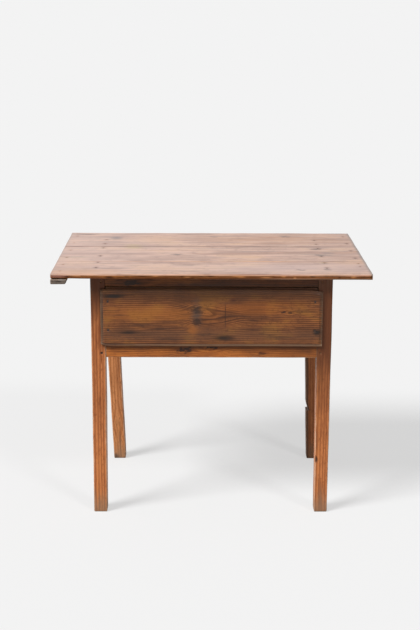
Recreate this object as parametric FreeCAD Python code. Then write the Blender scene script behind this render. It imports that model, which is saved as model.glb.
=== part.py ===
import FreeCAD, Part
import math
import os
from FreeCAD import Vector

# A country-made pine tavern table: a top of wide boards on two battens, a pegged
# mortise-and-tenon frame on four legs, and one deep drawer with a lipped front.
# Origin: on the floor under the middle of the top. +X right, +Y to the back, +Z up.
# All sizes are in millimetres.

# Top
TABLE_HEIGHT = 775.0
TOP_LENGTH = 965.0
TOP_DEPTH = 693.0
TOP_THICKNESS = 16.0
TOP_ARRIS = 6.0                 # rounding of the two long upper edges
FRONT_BOARD_WIDTH = 193.0
REAR_BOARD_WIDTH = 251.0
BOARD_GAP = 0.6                 # shrinkage gap between two boards

# Battens under the ends of the top
BATTEN_WIDTH = 50.0
BATTEN_THICKNESS = 15.5
BATTEN_CHAMFER = 6.0            # on the lower edge that faces the frame
RIGHT_BATTEN_SETBACK = 100.0    # its front end stands back from the top's front edge

# Frame
SIDE_OVERHANG = 115.5           # of the top, past the legs
FRONT_OVERHANG = 44.0
LEG_WIDTH = 44.0
FOOT_WIDTH = 41.0               # the two inner faces taper below the aprons
REAR_LEFT_LEAN = 34.0           # sideways shift of a foot: the old back frame has racked
REAR_RIGHT_LEAN = 16.0
APRON_HEIGHT = 254.0
APRON_THICKNESS = 20.0
APRON_SETBACK = 4.0
UPPER_RAIL_HEIGHT = 32.0
LOWER_RAIL_HEIGHT = 46.0
RAIL_THICKNESS = 22.0
RAIL_SETBACK = 2.0

# Scooped notch across the inner face of the rear right leg
NOTCH_LEDGE_HEIGHT = 178.0
NOTCH_LENGTH = 34.0
NOTCH_DEPTH = 9.0

# Mortise-and-tenon joints and their pegs
TENON_THICKNESS = 12.0
TENON_TIP_GAP = 1.0             # wood left between two tenons that meet in a leg
APRON_SHOULDER = 20.0           # apron edge above and below its tenon
RAIL_SHOULDER = 4.0
CHEEK_CLEARANCE = 0.1
MORTISE_END_GAP = 0.5
PEG_DIAMETER = 7.0
PEG_RECESS = 1.5                # the peg ends lie below the leg's face
PEG_CLEARANCE = 0.05
PEG_PAST_TENON = 5.0
LOWER_PEG_RISE = 14.0           # above the lower rail's lower edge
SIDE_PEG_SPREAD = 140.0
REAR_PEG_SPREAD = 96.0

# Drawer
LIP_THICKNESS = 12.0
LIP_CLEARANCE = 0.4             # closed drawer, lip to leg
LIP_SIDE_OVERLAP = 14.5
LIP_LOWER_OVERLAP = 6.0
LIP_UPPER_GAP = 6.0             # open slot under the upper rail
BEVEL_WIDTH = 9.5
BEVEL_DEPTH = 4.5
FIELD_STEP = 1.0
STEP_THICKNESS = 8.0            # part of the front that enters the opening
DRAWER_DEPTH = 470.0
DRAWER_REAR_GAP = 14.4          # closed drawer, to the rear legs
DRAWER_SIDE_THICKNESS = 14.0
DRAWER_SIDE_HEIGHT = 165.0
DRAWER_SIDE_CLEARANCE = 2.0
DRAWER_RUN_CLEARANCE = 0.4
DRAWER_BACK_THICKNESS = 14.0
DRAWER_BACK_DROP = 6.0          # the back is lower than the sides
BOTTOM_THICKNESS = 8.0
BOTTOM_RISE = 8.0
BOTTOM_GAP = 0.5
GROOVE_DEPTH = 5.0
GROOVE_CLEARANCE = 0.2
FRONT_BOTTOM_BOARD_SHARE = 0.52

# Drawer runners, guides and kickers
RUNNER_HEIGHT = 22.0
RUNNER_LEDGE = 16.0
GUIDE_HEIGHT = 20.0
KICKER_CLEARANCE = 3.0
STRIP_END_GAP = 0.3

# Wrought nails
NAIL_SHANK = 4.0
NAIL_TIP = 1.6
NAIL_HEAD = 8.0
NAIL_HEAD_HEIGHT = 1.8
NAIL_RECESS = 0.5
FRAME_NAIL_BITE = 32.0          # depth of a nail in a deep piece
DRAWER_NAIL_BITE = 30.0
NAIL_TIP_COVER = 4.0            # wood left past the tip in a thin piece
FRAME_NAIL_SHARES = (0.36, 0.90)
BATTEN_NAIL_SHARES = (0.24, 0.74)
FRONT_NAIL_SHARES = (0.28, 0.79)
BACK_NAIL_SHARES = (0.25, 0.75)
BOTTOM_NAIL_SHARES = (0.12, 0.5, 0.88)
STRIP_NAIL_SHARES = (0.1, 0.5, 0.9)

# Levels and planes that follow from the sizes above
FRAME_LENGTH = TOP_LENGTH - 2 * SIDE_OVERHANG
FRAME_DEPTH = DRAWER_DEPTH - LIP_CLEARANCE + DRAWER_REAR_GAP + LEG_WIDTH
TOP_UNDERSIDE = TABLE_HEIGHT - TOP_THICKNESS
APRON_BOTTOM = TOP_UNDERSIDE - APRON_HEIGHT
TOP_FRONT = -TOP_DEPTH / 2
TOP_REAR = TOP_DEPTH / 2
FRAME_FRONT = TOP_FRONT + FRONT_OVERHANG
FRAME_REAR = FRAME_FRONT + FRAME_DEPTH
HALF_FRAME = FRAME_LENGTH / 2
HALF_OPENING = HALF_FRAME - LEG_WIDTH
UPPER_RAIL_BOTTOM = TOP_UNDERSIDE - UPPER_RAIL_HEIGHT
LOWER_RAIL_TOP = APRON_BOTTOM + LOWER_RAIL_HEIGHT
APRON_TENON_FAR = APRON_SETBACK + (APRON_THICKNESS + TENON_THICKNESS) / 2
RAIL_TENON_FAR = RAIL_SETBACK + (RAIL_THICKNESS + TENON_THICKNESS) / 2
CROSS_TENON_LENGTH = LEG_WIDTH - APRON_TENON_FAR - TENON_TIP_GAP
SIDE_TENON_LENGTH = LEG_WIDTH - max(RAIL_TENON_FAR, APRON_TENON_FAR) - TENON_TIP_GAP
STRIP_FRONT = FRAME_FRONT + LEG_WIDTH + STRIP_END_GAP
STRIP_REAR = FRAME_REAR - LEG_WIDTH - STRIP_END_GAP
APRON_INNER = APRON_SETBACK + APRON_THICKNESS

LIP_BACK = FRAME_FRONT - LIP_CLEARANCE
LIP_FACE = LIP_BACK - LIP_THICKNESS
LIP_BOTTOM = LOWER_RAIL_TOP - LIP_LOWER_OVERLAP
LIP_TOP = UPPER_RAIL_BOTTOM - LIP_UPPER_GAP
HALF_LIP = HALF_OPENING + LIP_SIDE_OVERLAP
HALF_DRAWER = HALF_OPENING - DRAWER_SIDE_CLEARANCE
HALF_INSIDE = HALF_DRAWER - DRAWER_SIDE_THICKNESS
DRAWER_BASE = LOWER_RAIL_TOP + DRAWER_RUN_CLEARANCE
DRAWER_SIDE_TOP = DRAWER_BASE + DRAWER_SIDE_HEIGHT
DRAWER_REAR = LIP_BACK + DRAWER_DEPTH
STEP_BACK = LIP_BACK + STEP_THICKNESS
BOTTOM_UNDERSIDE = DRAWER_BASE + BOTTOM_RISE
BOTTOM_TOP = BOTTOM_UNDERSIDE + BOTTOM_THICKNESS
KICKER_BOTTOM = DRAWER_SIDE_TOP + KICKER_CLEARANCE

SIDES = {"left": -1, "right": 1}


# Small helpers
def block(x, y, z):
    """Box between two limits on each axis, in any order."""
    low = [min(pair) for pair in (x, y, z)]
    size = [abs(pair[1] - pair[0]) for pair in (x, y, z)]
    return Part.makeBox(*size, Vector(*low))


def rectangle(x, y, z):
    """Closed wire of a level rectangle at height z."""
    corners = [Vector(x[0], y[0], z), Vector(x[1], y[0], z), Vector(x[1], y[1], z), Vector(x[0], y[1], z)]
    return Part.makePolygon(corners + corners[:1])


def upright_rectangle(x, z, y):
    """Closed wire of an upright rectangle, facing along Y."""
    corners = [Vector(x[0], y, z[0]), Vector(x[1], y, z[0]), Vector(x[1], y, z[1]), Vector(x[0], y, z[1])]
    return Part.makePolygon(corners + corners[:1])


def cut(body, tools):
    """One solid: body less every tool that reaches it."""
    near = [tool for tool in tools if tool.BoundBox.intersect(body.BoundBox)]
    solids = body.cut(near).removeSplitter().Solids if near else body.Solids
    if len(solids) != 1:
        raise ValueError("a cut left %d solids" % len(solids))
    return solids[0]


def join(first, *others):
    """One solid from pieces that share a face."""
    return first.fuse(list(others)).removeSplitter().Solids[0]


def between(low, high, share):
    return low + share * (high - low)


def inward(side, near, far):
    """X limits of a strip, measured inward from the frame's outer face on one side."""
    return (side * (HALF_FRAME - near), side * (HALF_FRAME - far))


# Nails: a square tapered shank under a low four-sided head
def nail(point, direction, length):
    """Nail and the pocket it fills, with its head just under the surface at point."""
    def square(size, z):
        return rectangle((-size / 2, size / 2), (-size / 2, size / 2), z)

    head_top = -NAIL_RECESS
    head_base = head_top - NAIL_HEAD_HEIGHT
    shank = Part.makeLoft([square(NAIL_SHANK, head_base), square(NAIL_TIP, -length)], True, True)
    head = Part.makeLoft([square(NAIL_HEAD, head_base), square(NAIL_HEAD / 3, head_top)], True, True)
    body = join(shank, head)
    half = NAIL_HEAD / 2
    mouth = block((-half, half), (-half, half), (head_base, NAIL_RECESS))
    pocket = join(shank, mouth)
    place = FreeCAD.Placement(point, FreeCAD.Rotation(Vector(0, 0, -1), direction))
    for shape in (body, pocket):
        shape.Placement = place
    return body, pocket


# Pegs: round pins across a tenon, driven in from the leg's face
def peg(point, direction, depth):
    """Peg and the hole it fills; point is on the leg's face."""
    radius = PEG_DIAMETER / 2
    body = Part.makeCylinder(radius, depth - PEG_RECESS, point + direction * PEG_RECESS, direction)
    hole = Part.makeCylinder(radius + PEG_CLEARANCE, depth + MORTISE_END_GAP, point, direction)
    return body, hole


# Tenons: the same limits give the tenon and, grown, its mortise
def rail_tenon(side, low, high, grow=0.0):
    """Tenon of a front rail in the front leg on one side."""
    face = HALF_OPENING
    tip = face + CROSS_TENON_LENGTH + (MORTISE_END_GAP if grow else 0.0)
    near = FRAME_FRONT + RAIL_SETBACK + (RAIL_THICKNESS - TENON_THICKNESS) / 2
    return block(
        (side * face, side * tip),
        (near - grow, near + TENON_THICKNESS + grow),
        (low + RAIL_SHOULDER - grow, high - RAIL_SHOULDER + grow),
    )


def rear_apron_tenon(side, grow=0.0):
    face = HALF_OPENING
    tip = face + CROSS_TENON_LENGTH + (MORTISE_END_GAP if grow else 0.0)
    near = FRAME_REAR - APRON_TENON_FAR
    return block(
        (side * face, side * tip),
        (near - grow, near + TENON_THICKNESS + grow),
        (APRON_BOTTOM + APRON_SHOULDER - grow, TOP_UNDERSIDE - APRON_SHOULDER + grow),
    )


def side_apron_tenon(side, end, grow=0.0):
    """Tenon of a side apron; end is -1 at the front leg and 1 at the rear leg."""
    face = FRAME_FRONT + LEG_WIDTH if end < 0 else FRAME_REAR - LEG_WIDTH
    tip = face + end * (SIDE_TENON_LENGTH + (MORTISE_END_GAP if grow else 0.0))
    far = APRON_TENON_FAR + grow
    near = APRON_TENON_FAR - TENON_THICKNESS - grow
    return block(
        inward(side, near, far),
        (face, tip),
        (APRON_BOTTOM + APRON_SHOULDER - grow, TOP_UNDERSIDE - APRON_SHOULDER + grow),
    )


# Fasteners, by the group that shares a node
def frame_pegs():
    """Pegs and holes of the front rails, the side aprons and the rear apron."""
    rails, sides, rear = [], [], []
    cross = HALF_OPENING + CROSS_TENON_LENGTH / 2
    middle = (APRON_BOTTOM + TOP_UNDERSIDE) / 2
    rail_depth = RAIL_TENON_FAR + PEG_PAST_TENON
    apron_depth = APRON_TENON_FAR + PEG_PAST_TENON
    upper = (UPPER_RAIL_BOTTOM + TOP_UNDERSIDE) / 2
    for side in SIDES.values():
        for level in (upper, APRON_BOTTOM + LOWER_PEG_RISE):
            rails.append(peg(Vector(side * cross, FRAME_FRONT, level), Vector(0, 1, 0), rail_depth))
        for step in (-1, 1):
            level = middle + step * REAR_PEG_SPREAD / 2
            rear.append(peg(Vector(side * cross, FRAME_REAR, level), Vector(0, -1, 0), apron_depth))
            level = middle + step * SIDE_PEG_SPREAD / 2
            tenon_middle = LEG_WIDTH - SIDE_TENON_LENGTH / 2
            for y in (FRAME_FRONT + tenon_middle, FRAME_REAR - tenon_middle):
                sides.append(peg(Vector(side * HALF_FRAME, y, level), Vector(-side, 0, 0), apron_depth))
    return rails, sides, rear


def board_limits():
    """Front and rear edge of each board of the top."""
    front_joint = TOP_FRONT + FRONT_BOARD_WIDTH
    rear_joint = TOP_REAR - REAR_BOARD_WIDTH
    return {
        "front": (TOP_FRONT, front_joint),
        "middle": (front_joint + BOARD_GAP, rear_joint - BOARD_GAP),
        "rear": (rear_joint, TOP_REAR),
    }


def top_nails():
    """Nails through the boards: into the side aprons and legs, and into the battens."""
    frame, batten = [], []
    apron_middle = HALF_FRAME - APRON_SETBACK - APRON_THICKNESS / 2
    batten_middle = TOP_LENGTH / 2 - BATTEN_WIDTH / 2
    down = Vector(0, 0, -1)
    for front, rear in board_limits().values():
        held_front, held_rear = max(front, FRAME_FRONT), min(rear, FRAME_REAR)
        for name, side in SIDES.items():
            for share in FRAME_NAIL_SHARES:
                point = Vector(side * apron_middle, between(held_front, held_rear, share), TABLE_HEIGHT)
                frame.append(nail(point, down, TOP_THICKNESS + FRAME_NAIL_BITE))
            start = max(front, TOP_FRONT + (RIGHT_BATTEN_SETBACK if name == "right" else 0.0))
            for share in BATTEN_NAIL_SHARES:
                point = Vector(side * batten_middle, between(start, rear, share), TABLE_HEIGHT)
                batten.append(nail(point, down, TOP_THICKNESS + BATTEN_THICKNESS - NAIL_TIP_COVER))
    return frame, batten


def strip_nails():
    """Nails that hold the runners, guides and kickers to the side aprons."""
    runner, guide, kicker = [], [], []
    ledge = LEG_WIDTH + RUNNER_LEDGE
    rows = (
        (runner, ledge, LOWER_RAIL_TOP - RUNNER_HEIGHT / 2),
        (guide, LEG_WIDTH, LOWER_RAIL_TOP + GUIDE_HEIGHT / 2),
        (kicker, ledge, (KICKER_BOTTOM + TOP_UNDERSIDE) / 2),
    )
    for group, face, level in rows:
        for side in SIDES.values():
            for share in STRIP_NAIL_SHARES:
                point = Vector(side * (HALF_FRAME - face), between(STRIP_FRONT, STRIP_REAR, share), level)
                group.append(nail(point, Vector(side, 0, 0), face - APRON_SETBACK - NAIL_TIP_COVER))
    return runner, guide, kicker


def drawer_nails():
    """Nails of the drawer: front to sides, sides to back, and bottom to back."""
    front, back, bottom = [], [], []
    back_middle = DRAWER_REAR - DRAWER_BACK_THICKNESS / 2
    back_top = DRAWER_SIDE_TOP - DRAWER_BACK_DROP
    for side in SIDES.values():
        x = side * (HALF_DRAWER - DRAWER_SIDE_THICKNESS / 2)
        for share in FRONT_NAIL_SHARES:
            point = Vector(x, LIP_FACE, between(LIP_BOTTOM, LIP_TOP, share))
            front.append(nail(point, Vector(0, 1, 0), LIP_THICKNESS + DRAWER_NAIL_BITE))
        for share in BACK_NAIL_SHARES:
            point = Vector(side * HALF_DRAWER, back_middle, between(BOTTOM_TOP, back_top, share))
            back.append(nail(point, Vector(-side, 0, 0), DRAWER_SIDE_THICKNESS + DRAWER_NAIL_BITE))
    for share in BOTTOM_NAIL_SHARES:
        point = Vector(between(-HALF_INSIDE, HALF_INSIDE, share), back_middle, BOTTOM_UNDERSIDE)
        bottom.append(nail(point, Vector(0, 0, 1), BOTTOM_THICKNESS + DRAWER_NAIL_BITE))
    return front, back, bottom


# Legs
def leg_limits(side, end, z, lean):
    """X and Y limits of a leg's section at height z: straight at the joints, then tapered and leaning."""
    share = min(1.0, z / APRON_BOTTOM)
    width = FOOT_WIDTH + (LEG_WIDTH - FOOT_WIDTH) * share
    outer_x = side * HALF_FRAME + lean * (1.0 - share)
    outer_y = FRAME_FRONT if end < 0 else FRAME_REAR
    return (outer_x, outer_x - side * width), (outer_y, outer_y - end * width)


def leg(side, end, lean, tools):
    sections = [rectangle(*leg_limits(side, end, z, lean), z) for z in (TOP_UNDERSIDE, APRON_BOTTOM, 0.0)]
    return cut(Part.makeLoft(sections, True, True), tools)


def leg_notch(side, end, lean):
    """Scoop that runs across the inner face, tangent to it at the top, over a level ledge."""
    foot = NOTCH_LEDGE_HEIGHT
    head = foot + NOTCH_LENGTH
    half = foot + NOTCH_LENGTH / 2
    radius = (NOTCH_LENGTH ** 2 + NOTCH_DEPTH ** 2) / (2 * NOTCH_DEPTH)
    half_depth = radius - math.sqrt(radius ** 2 - (NOTCH_LENGTH / 2) ** 2)

    def point(depth, z):
        inner = leg_limits(side, end, z, lean)[0][1]
        return Vector(inner + side * depth, FRAME_REAR - 2 * LEG_WIDTH, z)

    scoop = Part.Arc(point(NOTCH_DEPTH, foot), point(half_depth, half), point(0.0, head)).toShape()
    outside = Part.makePolygon([point(0.0, head), point(-NOTCH_DEPTH, head), point(-NOTCH_DEPTH, foot),
                                point(NOTCH_DEPTH, foot)])
    profile = Part.Face(Part.Wire([scoop] + outside.Edges))
    return profile.extrude(Vector(0, 3 * LEG_WIDTH, 0))


# Frame boards
def rail(low, high, tools):
    near = FRAME_FRONT + RAIL_SETBACK
    body = block((-HALF_OPENING, HALF_OPENING), (near, near + RAIL_THICKNESS), (low, high))
    return cut(join(body, *[rail_tenon(side, low, high) for side in SIDES.values()]), tools)


def rear_apron(tools):
    far = FRAME_REAR - APRON_SETBACK
    body = block((-HALF_OPENING, HALF_OPENING), (far - APRON_THICKNESS, far), (APRON_BOTTOM, TOP_UNDERSIDE))
    return cut(join(body, *[rear_apron_tenon(side) for side in SIDES.values()]), tools)


def side_apron(side, tools):
    body = block(
        inward(side, APRON_SETBACK, APRON_INNER),
        (FRAME_FRONT + LEG_WIDTH, FRAME_REAR - LEG_WIDTH),
        (APRON_BOTTOM, TOP_UNDERSIDE),
    )
    return cut(join(body, *[side_apron_tenon(side, end) for end in (-1, 1)]), tools)


def strip(side, face, low, high, tools):
    """Runner, guide or kicker: a strip on the apron's inner face, between the legs."""
    return cut(block(inward(side, APRON_INNER, face), (STRIP_FRONT, STRIP_REAR), (low, high)), tools)


# Top
def top_board(name, tools):
    front, rear = board_limits()[name]
    body = block((-TOP_LENGTH / 2, TOP_LENGTH / 2), (front, rear), (TOP_UNDERSIDE, TABLE_HEIGHT))
    outer = {"front": TOP_FRONT, "rear": TOP_REAR}.get(name)
    if outer is not None:
        arris = [
            edge for edge in body.Edges
            if all(abs(v.Y - outer) < 1e-6 and abs(v.Z - TABLE_HEIGHT) < 1e-6 for v in edge.Vertexes)
        ]
        body = body.makeFillet(TOP_ARRIS, arris)
    return cut(body, tools)


def batten(side, front, tools):
    outer = side * TOP_LENGTH / 2
    inner = outer - side * BATTEN_WIDTH
    low = TOP_UNDERSIDE - BATTEN_THICKNESS
    section = [
        Vector(outer, front, TOP_UNDERSIDE),
        Vector(inner, front, TOP_UNDERSIDE),
        Vector(inner, front, low + BATTEN_CHAMFER),
        Vector(inner + side * BATTEN_CHAMFER, front, low),
        Vector(outer, front, low),
    ]
    profile = Part.Face(Part.makePolygon(section + section[:1]))
    return cut(profile.extrude(Vector(0, TOP_REAR - front, 0)), tools)


# Drawer
def drawer_front(tools):
    """Lipped front: a raised field, a bevel all round it, the lip, and a step that enters the opening."""
    lip_x, lip_z = (-HALF_LIP, HALF_LIP), (LIP_BOTTOM, LIP_TOP)
    field_x = (-HALF_LIP + BEVEL_WIDTH, HALF_LIP - BEVEL_WIDTH)
    field_z = (LIP_BOTTOM + BEVEL_WIDTH, LIP_TOP - BEVEL_WIDTH)
    bevel_top = LIP_FACE + FIELD_STEP
    bevel_foot = bevel_top + BEVEL_DEPTH
    field = block(field_x, (LIP_FACE, bevel_top), field_z)
    outlines = [upright_rectangle(field_x, field_z, bevel_top), upright_rectangle(lip_x, lip_z, bevel_foot)]
    bevel = Part.makeLoft(outlines, True, True)
    lip = block(lip_x, (bevel_foot, LIP_BACK), lip_z)
    step = block((-HALF_INSIDE, HALF_INSIDE), (LIP_BACK, STEP_BACK), (DRAWER_BASE, DRAWER_SIDE_TOP))
    return cut(join(lip, bevel, field, step), tools + [bottom_groove()])


def bottom_groove():
    """Space that the bottom boards fill in the front, the sides and under the back."""
    reach = HALF_INSIDE + GROOVE_DEPTH + GROOVE_CLEARANCE
    return block(
        (-reach, reach),
        (STEP_BACK - GROOVE_DEPTH - GROOVE_CLEARANCE, DRAWER_REAR + GROOVE_CLEARANCE),
        (BOTTOM_UNDERSIDE - GROOVE_CLEARANCE, BOTTOM_TOP + GROOVE_CLEARANCE),
    )


def drawer_side(side, tools):
    body = block(
        (side * HALF_INSIDE, side * HALF_DRAWER),
        (LIP_BACK, DRAWER_REAR),
        (DRAWER_BASE, DRAWER_SIDE_TOP),
    )
    return cut(body, tools + [bottom_groove()])


def drawer_back(tools):
    low = BOTTOM_TOP + GROOVE_CLEARANCE
    body = block(
        (-HALF_INSIDE, HALF_INSIDE),
        (DRAWER_REAR - DRAWER_BACK_THICKNESS, DRAWER_REAR),
        (low, DRAWER_SIDE_TOP - DRAWER_BACK_DROP),
    )
    return cut(body, tools)


def drawer_bottom(name, tools):
    reach = HALF_INSIDE + GROOVE_DEPTH
    front = STEP_BACK - GROOVE_DEPTH
    seam = between(front, DRAWER_REAR, FRONT_BOTTOM_BOARD_SHARE)
    limits = {"front": (front, seam), "rear": (seam + BOTTOM_GAP, DRAWER_REAR)}
    return cut(block((-reach, reach), limits[name], (BOTTOM_UNDERSIDE, BOTTOM_TOP)), tools)


def build():
    """Every node of the table, by name."""
    rail_pegs, side_pegs, rear_pegs = frame_pegs()
    frame_nails, batten_nails = top_nails()
    runner_nails, guide_nails, kicker_nails = strip_nails()
    front_nails, back_nails, bottom_nails = drawer_nails()

    def pockets(*groups):
        return [pocket for group in groups for body, pocket in group]

    peg_holes = pockets(rail_pegs, side_pegs, rear_pegs)
    frame_cuts = peg_holes + pockets(frame_nails, runner_nails, guide_nails, kicker_nails)
    board_cuts = pockets(frame_nails, batten_nails)
    drawer_cuts = pockets(front_nails, back_nails, bottom_nails)
    rails = {
        "upper_rail": (UPPER_RAIL_BOTTOM, TOP_UNDERSIDE),
        "lower_rail": (APRON_BOTTOM, LOWER_RAIL_TOP),
    }
    nodes = {}
    for name in board_limits():
        nodes["top_board_" + name] = top_board(name, board_cuts)
    nodes["batten_left"] = batten(SIDES["left"], TOP_FRONT, board_cuts)
    nodes["batten_right"] = batten(SIDES["right"], TOP_FRONT + RIGHT_BATTEN_SETBACK, board_cuts)

    rear_leans = {"left": REAR_LEFT_LEAN, "right": REAR_RIGHT_LEAN}
    for name, side in SIDES.items():
        side_mortises = {end: side_apron_tenon(side, end, CHEEK_CLEARANCE) for end in (-1, 1)}
        rail_mortises = [rail_tenon(side, low, high, CHEEK_CLEARANCE) for low, high in rails.values()]
        front_cuts = frame_cuts + rail_mortises + [side_mortises[-1]]
        rear_cuts = frame_cuts + [rear_apron_tenon(side, CHEEK_CLEARANCE), side_mortises[1]]
        if name == "right":
            rear_cuts = rear_cuts + [leg_notch(side, 1, REAR_RIGHT_LEAN)]
        nodes["leg_front_" + name] = leg(side, -1, 0.0, front_cuts)
        nodes["leg_rear_" + name] = leg(side, 1, rear_leans[name], rear_cuts)

    for name, (low, high) in rails.items():
        nodes[name] = rail(low, high, peg_holes)
    nodes["rear_apron"] = rear_apron(peg_holes)
    ledge = LEG_WIDTH + RUNNER_LEDGE
    for name, side in SIDES.items():
        nodes["side_apron_" + name] = side_apron(side, frame_cuts)
        nodes["drawer_runner_" + name] = strip(
            side, ledge, LOWER_RAIL_TOP - RUNNER_HEIGHT, LOWER_RAIL_TOP, pockets(runner_nails))
        nodes["drawer_guide_" + name] = strip(
            side, LEG_WIDTH, LOWER_RAIL_TOP, LOWER_RAIL_TOP + GUIDE_HEIGHT, pockets(guide_nails))
        nodes["drawer_kicker_" + name] = strip(
            side, ledge, KICKER_BOTTOM, TOP_UNDERSIDE, pockets(kicker_nails, frame_nails))
        nodes["drawer_side_" + name] = drawer_side(side, drawer_cuts)

    nodes["drawer_front"] = drawer_front(drawer_cuts)
    nodes["drawer_back"] = drawer_back(drawer_cuts)
    for name in ("front", "rear"):
        nodes["drawer_bottom_" + name] = drawer_bottom(name, drawer_cuts)

    fasteners = {
        "rail_pegs": rail_pegs, "side_apron_pegs": side_pegs, "rear_apron_pegs": rear_pegs,
        "top_nails": frame_nails, "batten_nails": batten_nails,
        "runner_nails": runner_nails, "guide_nails": guide_nails, "kicker_nails": kicker_nails,
        "drawer_front_nails": front_nails, "drawer_back_nails": back_nails,
        "drawer_bottom_nails": bottom_nails,
    }
    for name, group in fasteners.items():
        nodes[name] = Part.makeCompound([body for body, pocket in group])
    return nodes


os.makedirs("parts", exist_ok=True)
for node, shape in build().items():
    if not shape.isValid():
        raise ValueError(node + " is not a valid shape")
    shape.exportStep("parts/" + node + ".step")
    print("%-22s %3d solids %10.1f cm3" % (node, len(shape.Solids), shape.Volume / 1000))
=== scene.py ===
# %% [markdown]
# # An old pine tavern table
# The real table is a country piece: three wide boards nailed on a pegged frame, with one deep drawer that
# has no handle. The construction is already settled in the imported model, so this lesson gives it its looks:
# hand-planed boards with worn arrises, pine grain that runs through the wood, knots, nail dents, light and a
# camera.

# %% Load the table's construction
import math

import bpy
import numpy as np
from mathutils import Matrix, Vector


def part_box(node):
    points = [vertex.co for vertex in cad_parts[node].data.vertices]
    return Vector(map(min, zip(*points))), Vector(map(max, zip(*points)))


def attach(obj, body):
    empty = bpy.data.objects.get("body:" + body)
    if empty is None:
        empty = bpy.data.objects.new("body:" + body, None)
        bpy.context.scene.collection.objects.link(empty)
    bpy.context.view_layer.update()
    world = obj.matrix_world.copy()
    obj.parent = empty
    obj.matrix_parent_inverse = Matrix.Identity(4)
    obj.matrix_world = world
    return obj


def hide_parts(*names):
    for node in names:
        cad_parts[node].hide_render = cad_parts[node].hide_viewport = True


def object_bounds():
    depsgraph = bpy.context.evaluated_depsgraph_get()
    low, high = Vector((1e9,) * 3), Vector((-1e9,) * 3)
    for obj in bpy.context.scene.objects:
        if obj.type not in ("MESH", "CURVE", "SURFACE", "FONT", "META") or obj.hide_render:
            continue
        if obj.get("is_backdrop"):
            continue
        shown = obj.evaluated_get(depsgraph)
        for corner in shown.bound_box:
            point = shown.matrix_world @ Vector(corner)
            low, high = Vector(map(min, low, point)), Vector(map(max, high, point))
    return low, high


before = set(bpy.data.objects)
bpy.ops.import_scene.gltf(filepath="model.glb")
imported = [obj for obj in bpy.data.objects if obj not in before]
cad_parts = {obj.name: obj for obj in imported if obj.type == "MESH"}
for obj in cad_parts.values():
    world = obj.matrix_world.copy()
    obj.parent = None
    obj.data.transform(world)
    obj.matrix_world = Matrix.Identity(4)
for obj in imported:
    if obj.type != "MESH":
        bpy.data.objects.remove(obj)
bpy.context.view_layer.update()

MM = 0.001
print("nodes loaded:", len(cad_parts))

# %% [markdown]
# ## Camera
# The camera stands a little over four metres in front of the table and looks down at it by about 14 degrees.
# Its place was found by matching the corners of the top and the feet. A camera can be aimed with a tracking
# constraint, but a matrix built from its three axes also holds the slight roll, so that is used here.

# %% Camera
IMAGE_LONG_SIDE = 630
FOCAL_PIXELS = 1300.0
SENSOR = 36.0
CAMERA_PLACE = Vector((-34, -4139, 1585)) * MM
CAMERA_PITCH, CAMERA_YAW, CAMERA_ROLL = (math.radians(angle) for angle in (13.84, 0.44, 0.24))

view = Vector((
    math.sin(CAMERA_YAW) * math.cos(CAMERA_PITCH),
    math.cos(CAMERA_YAW) * math.cos(CAMERA_PITCH),
    -math.sin(CAMERA_PITCH),
))
level = Vector((math.cos(CAMERA_YAW), -math.sin(CAMERA_YAW), 0))
upright = level.cross(view)
across = level * math.cos(CAMERA_ROLL) + upright * math.sin(CAMERA_ROLL)
camera_data = bpy.data.cameras.new("camera")
camera_data.sensor_width = SENSOR
camera_data.lens = SENSOR * FOCAL_PIXELS / IMAGE_LONG_SIDE
camera = bpy.data.objects.new("camera", camera_data)
camera.matrix_world = Matrix.Translation(CAMERA_PLACE) @ Matrix(
    (across, across.cross(view), -view)).transposed().to_4x4()
bpy.context.scene.collection.objects.link(camera)
bpy.context.scene.camera = camera
bpy.context.scene.view_settings.view_transform = "Standard"
print("lens: %.1f mm" % camera_data.lens)

# %% [markdown]
# ## Colours and nodes
# Colours are written as sRGB hex values, as a paint program shows them, and turned to the linear values that
# shaders work in. One helper adds any shader node, sets its fields and plugs in what feeds it, which keeps
# each material to a short list of steps.


# %% Colour and node helpers
def linear(hex_colour):
    """Linear RGBA of an sRGB hex colour."""
    channels = [int(hex_colour[i:i + 2], 16) / 255 for i in (1, 3, 5)]
    return [c / 12.92 if c <= 0.04045 else ((c + 0.055) / 1.055) ** 2.4 for c in channels] + [1.0]


def add(tree, kind, *inputs, **fields):
    """Adds a shader node and gives its first output. Inputs fill its sockets in order, and a field is a
    setting of the node or, with _ for a space, the name of a socket. A socket is fed by another socket or
    holds a value."""
    node = tree.nodes.new("ShaderNode" + kind)
    for field in [field for field in fields if hasattr(node, field)]:
        setattr(node, field, fields.pop(field))
    sockets = [socket for socket in node.inputs if socket.enabled]
    named = [(node.inputs[field.replace("_", " ")], value) for field, value in fields.items()]
    for socket, value in [*zip(sockets, inputs), *named]:
        if isinstance(value, bpy.types.NodeSocket):
            tree.links.new(value, socket)
        else:
            socket.default_value = value
    return next((socket for socket in node.outputs if socket.enabled), None)


def new_material(name):
    """An empty material and its node tree."""
    material = bpy.data.materials.new(name)
    material.use_nodes = True
    material.node_tree.nodes.clear()
    return material, material.node_tree


print("linear value of #808080: %.3f" % linear("#808080")[0])

# %% [markdown]
# ## Light
# The main light comes from high on the left, so the overhanging top keeps its shade on the drawer, and a weak
# one from the right opens the shadows. They could be area lamps; suns are used because they light the whole
# floor evenly. The world adds a dim light from all sides, but looks as bright as the floor to the camera.

# %% World and suns
PAPER = "#f3f3f3"
PAPER_LIGHT = linear(PAPER)[0]
AMBIENT = 0.24
SUNS = {
    # name: (where the light comes from, strength, width of its disc in degrees)
    "key_left": ((-0.80, -0.54, 1.00), 1.22, 22),
    "fill_right": ((0.60, -0.80, 0.90), 0.22, 11),
}


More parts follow.
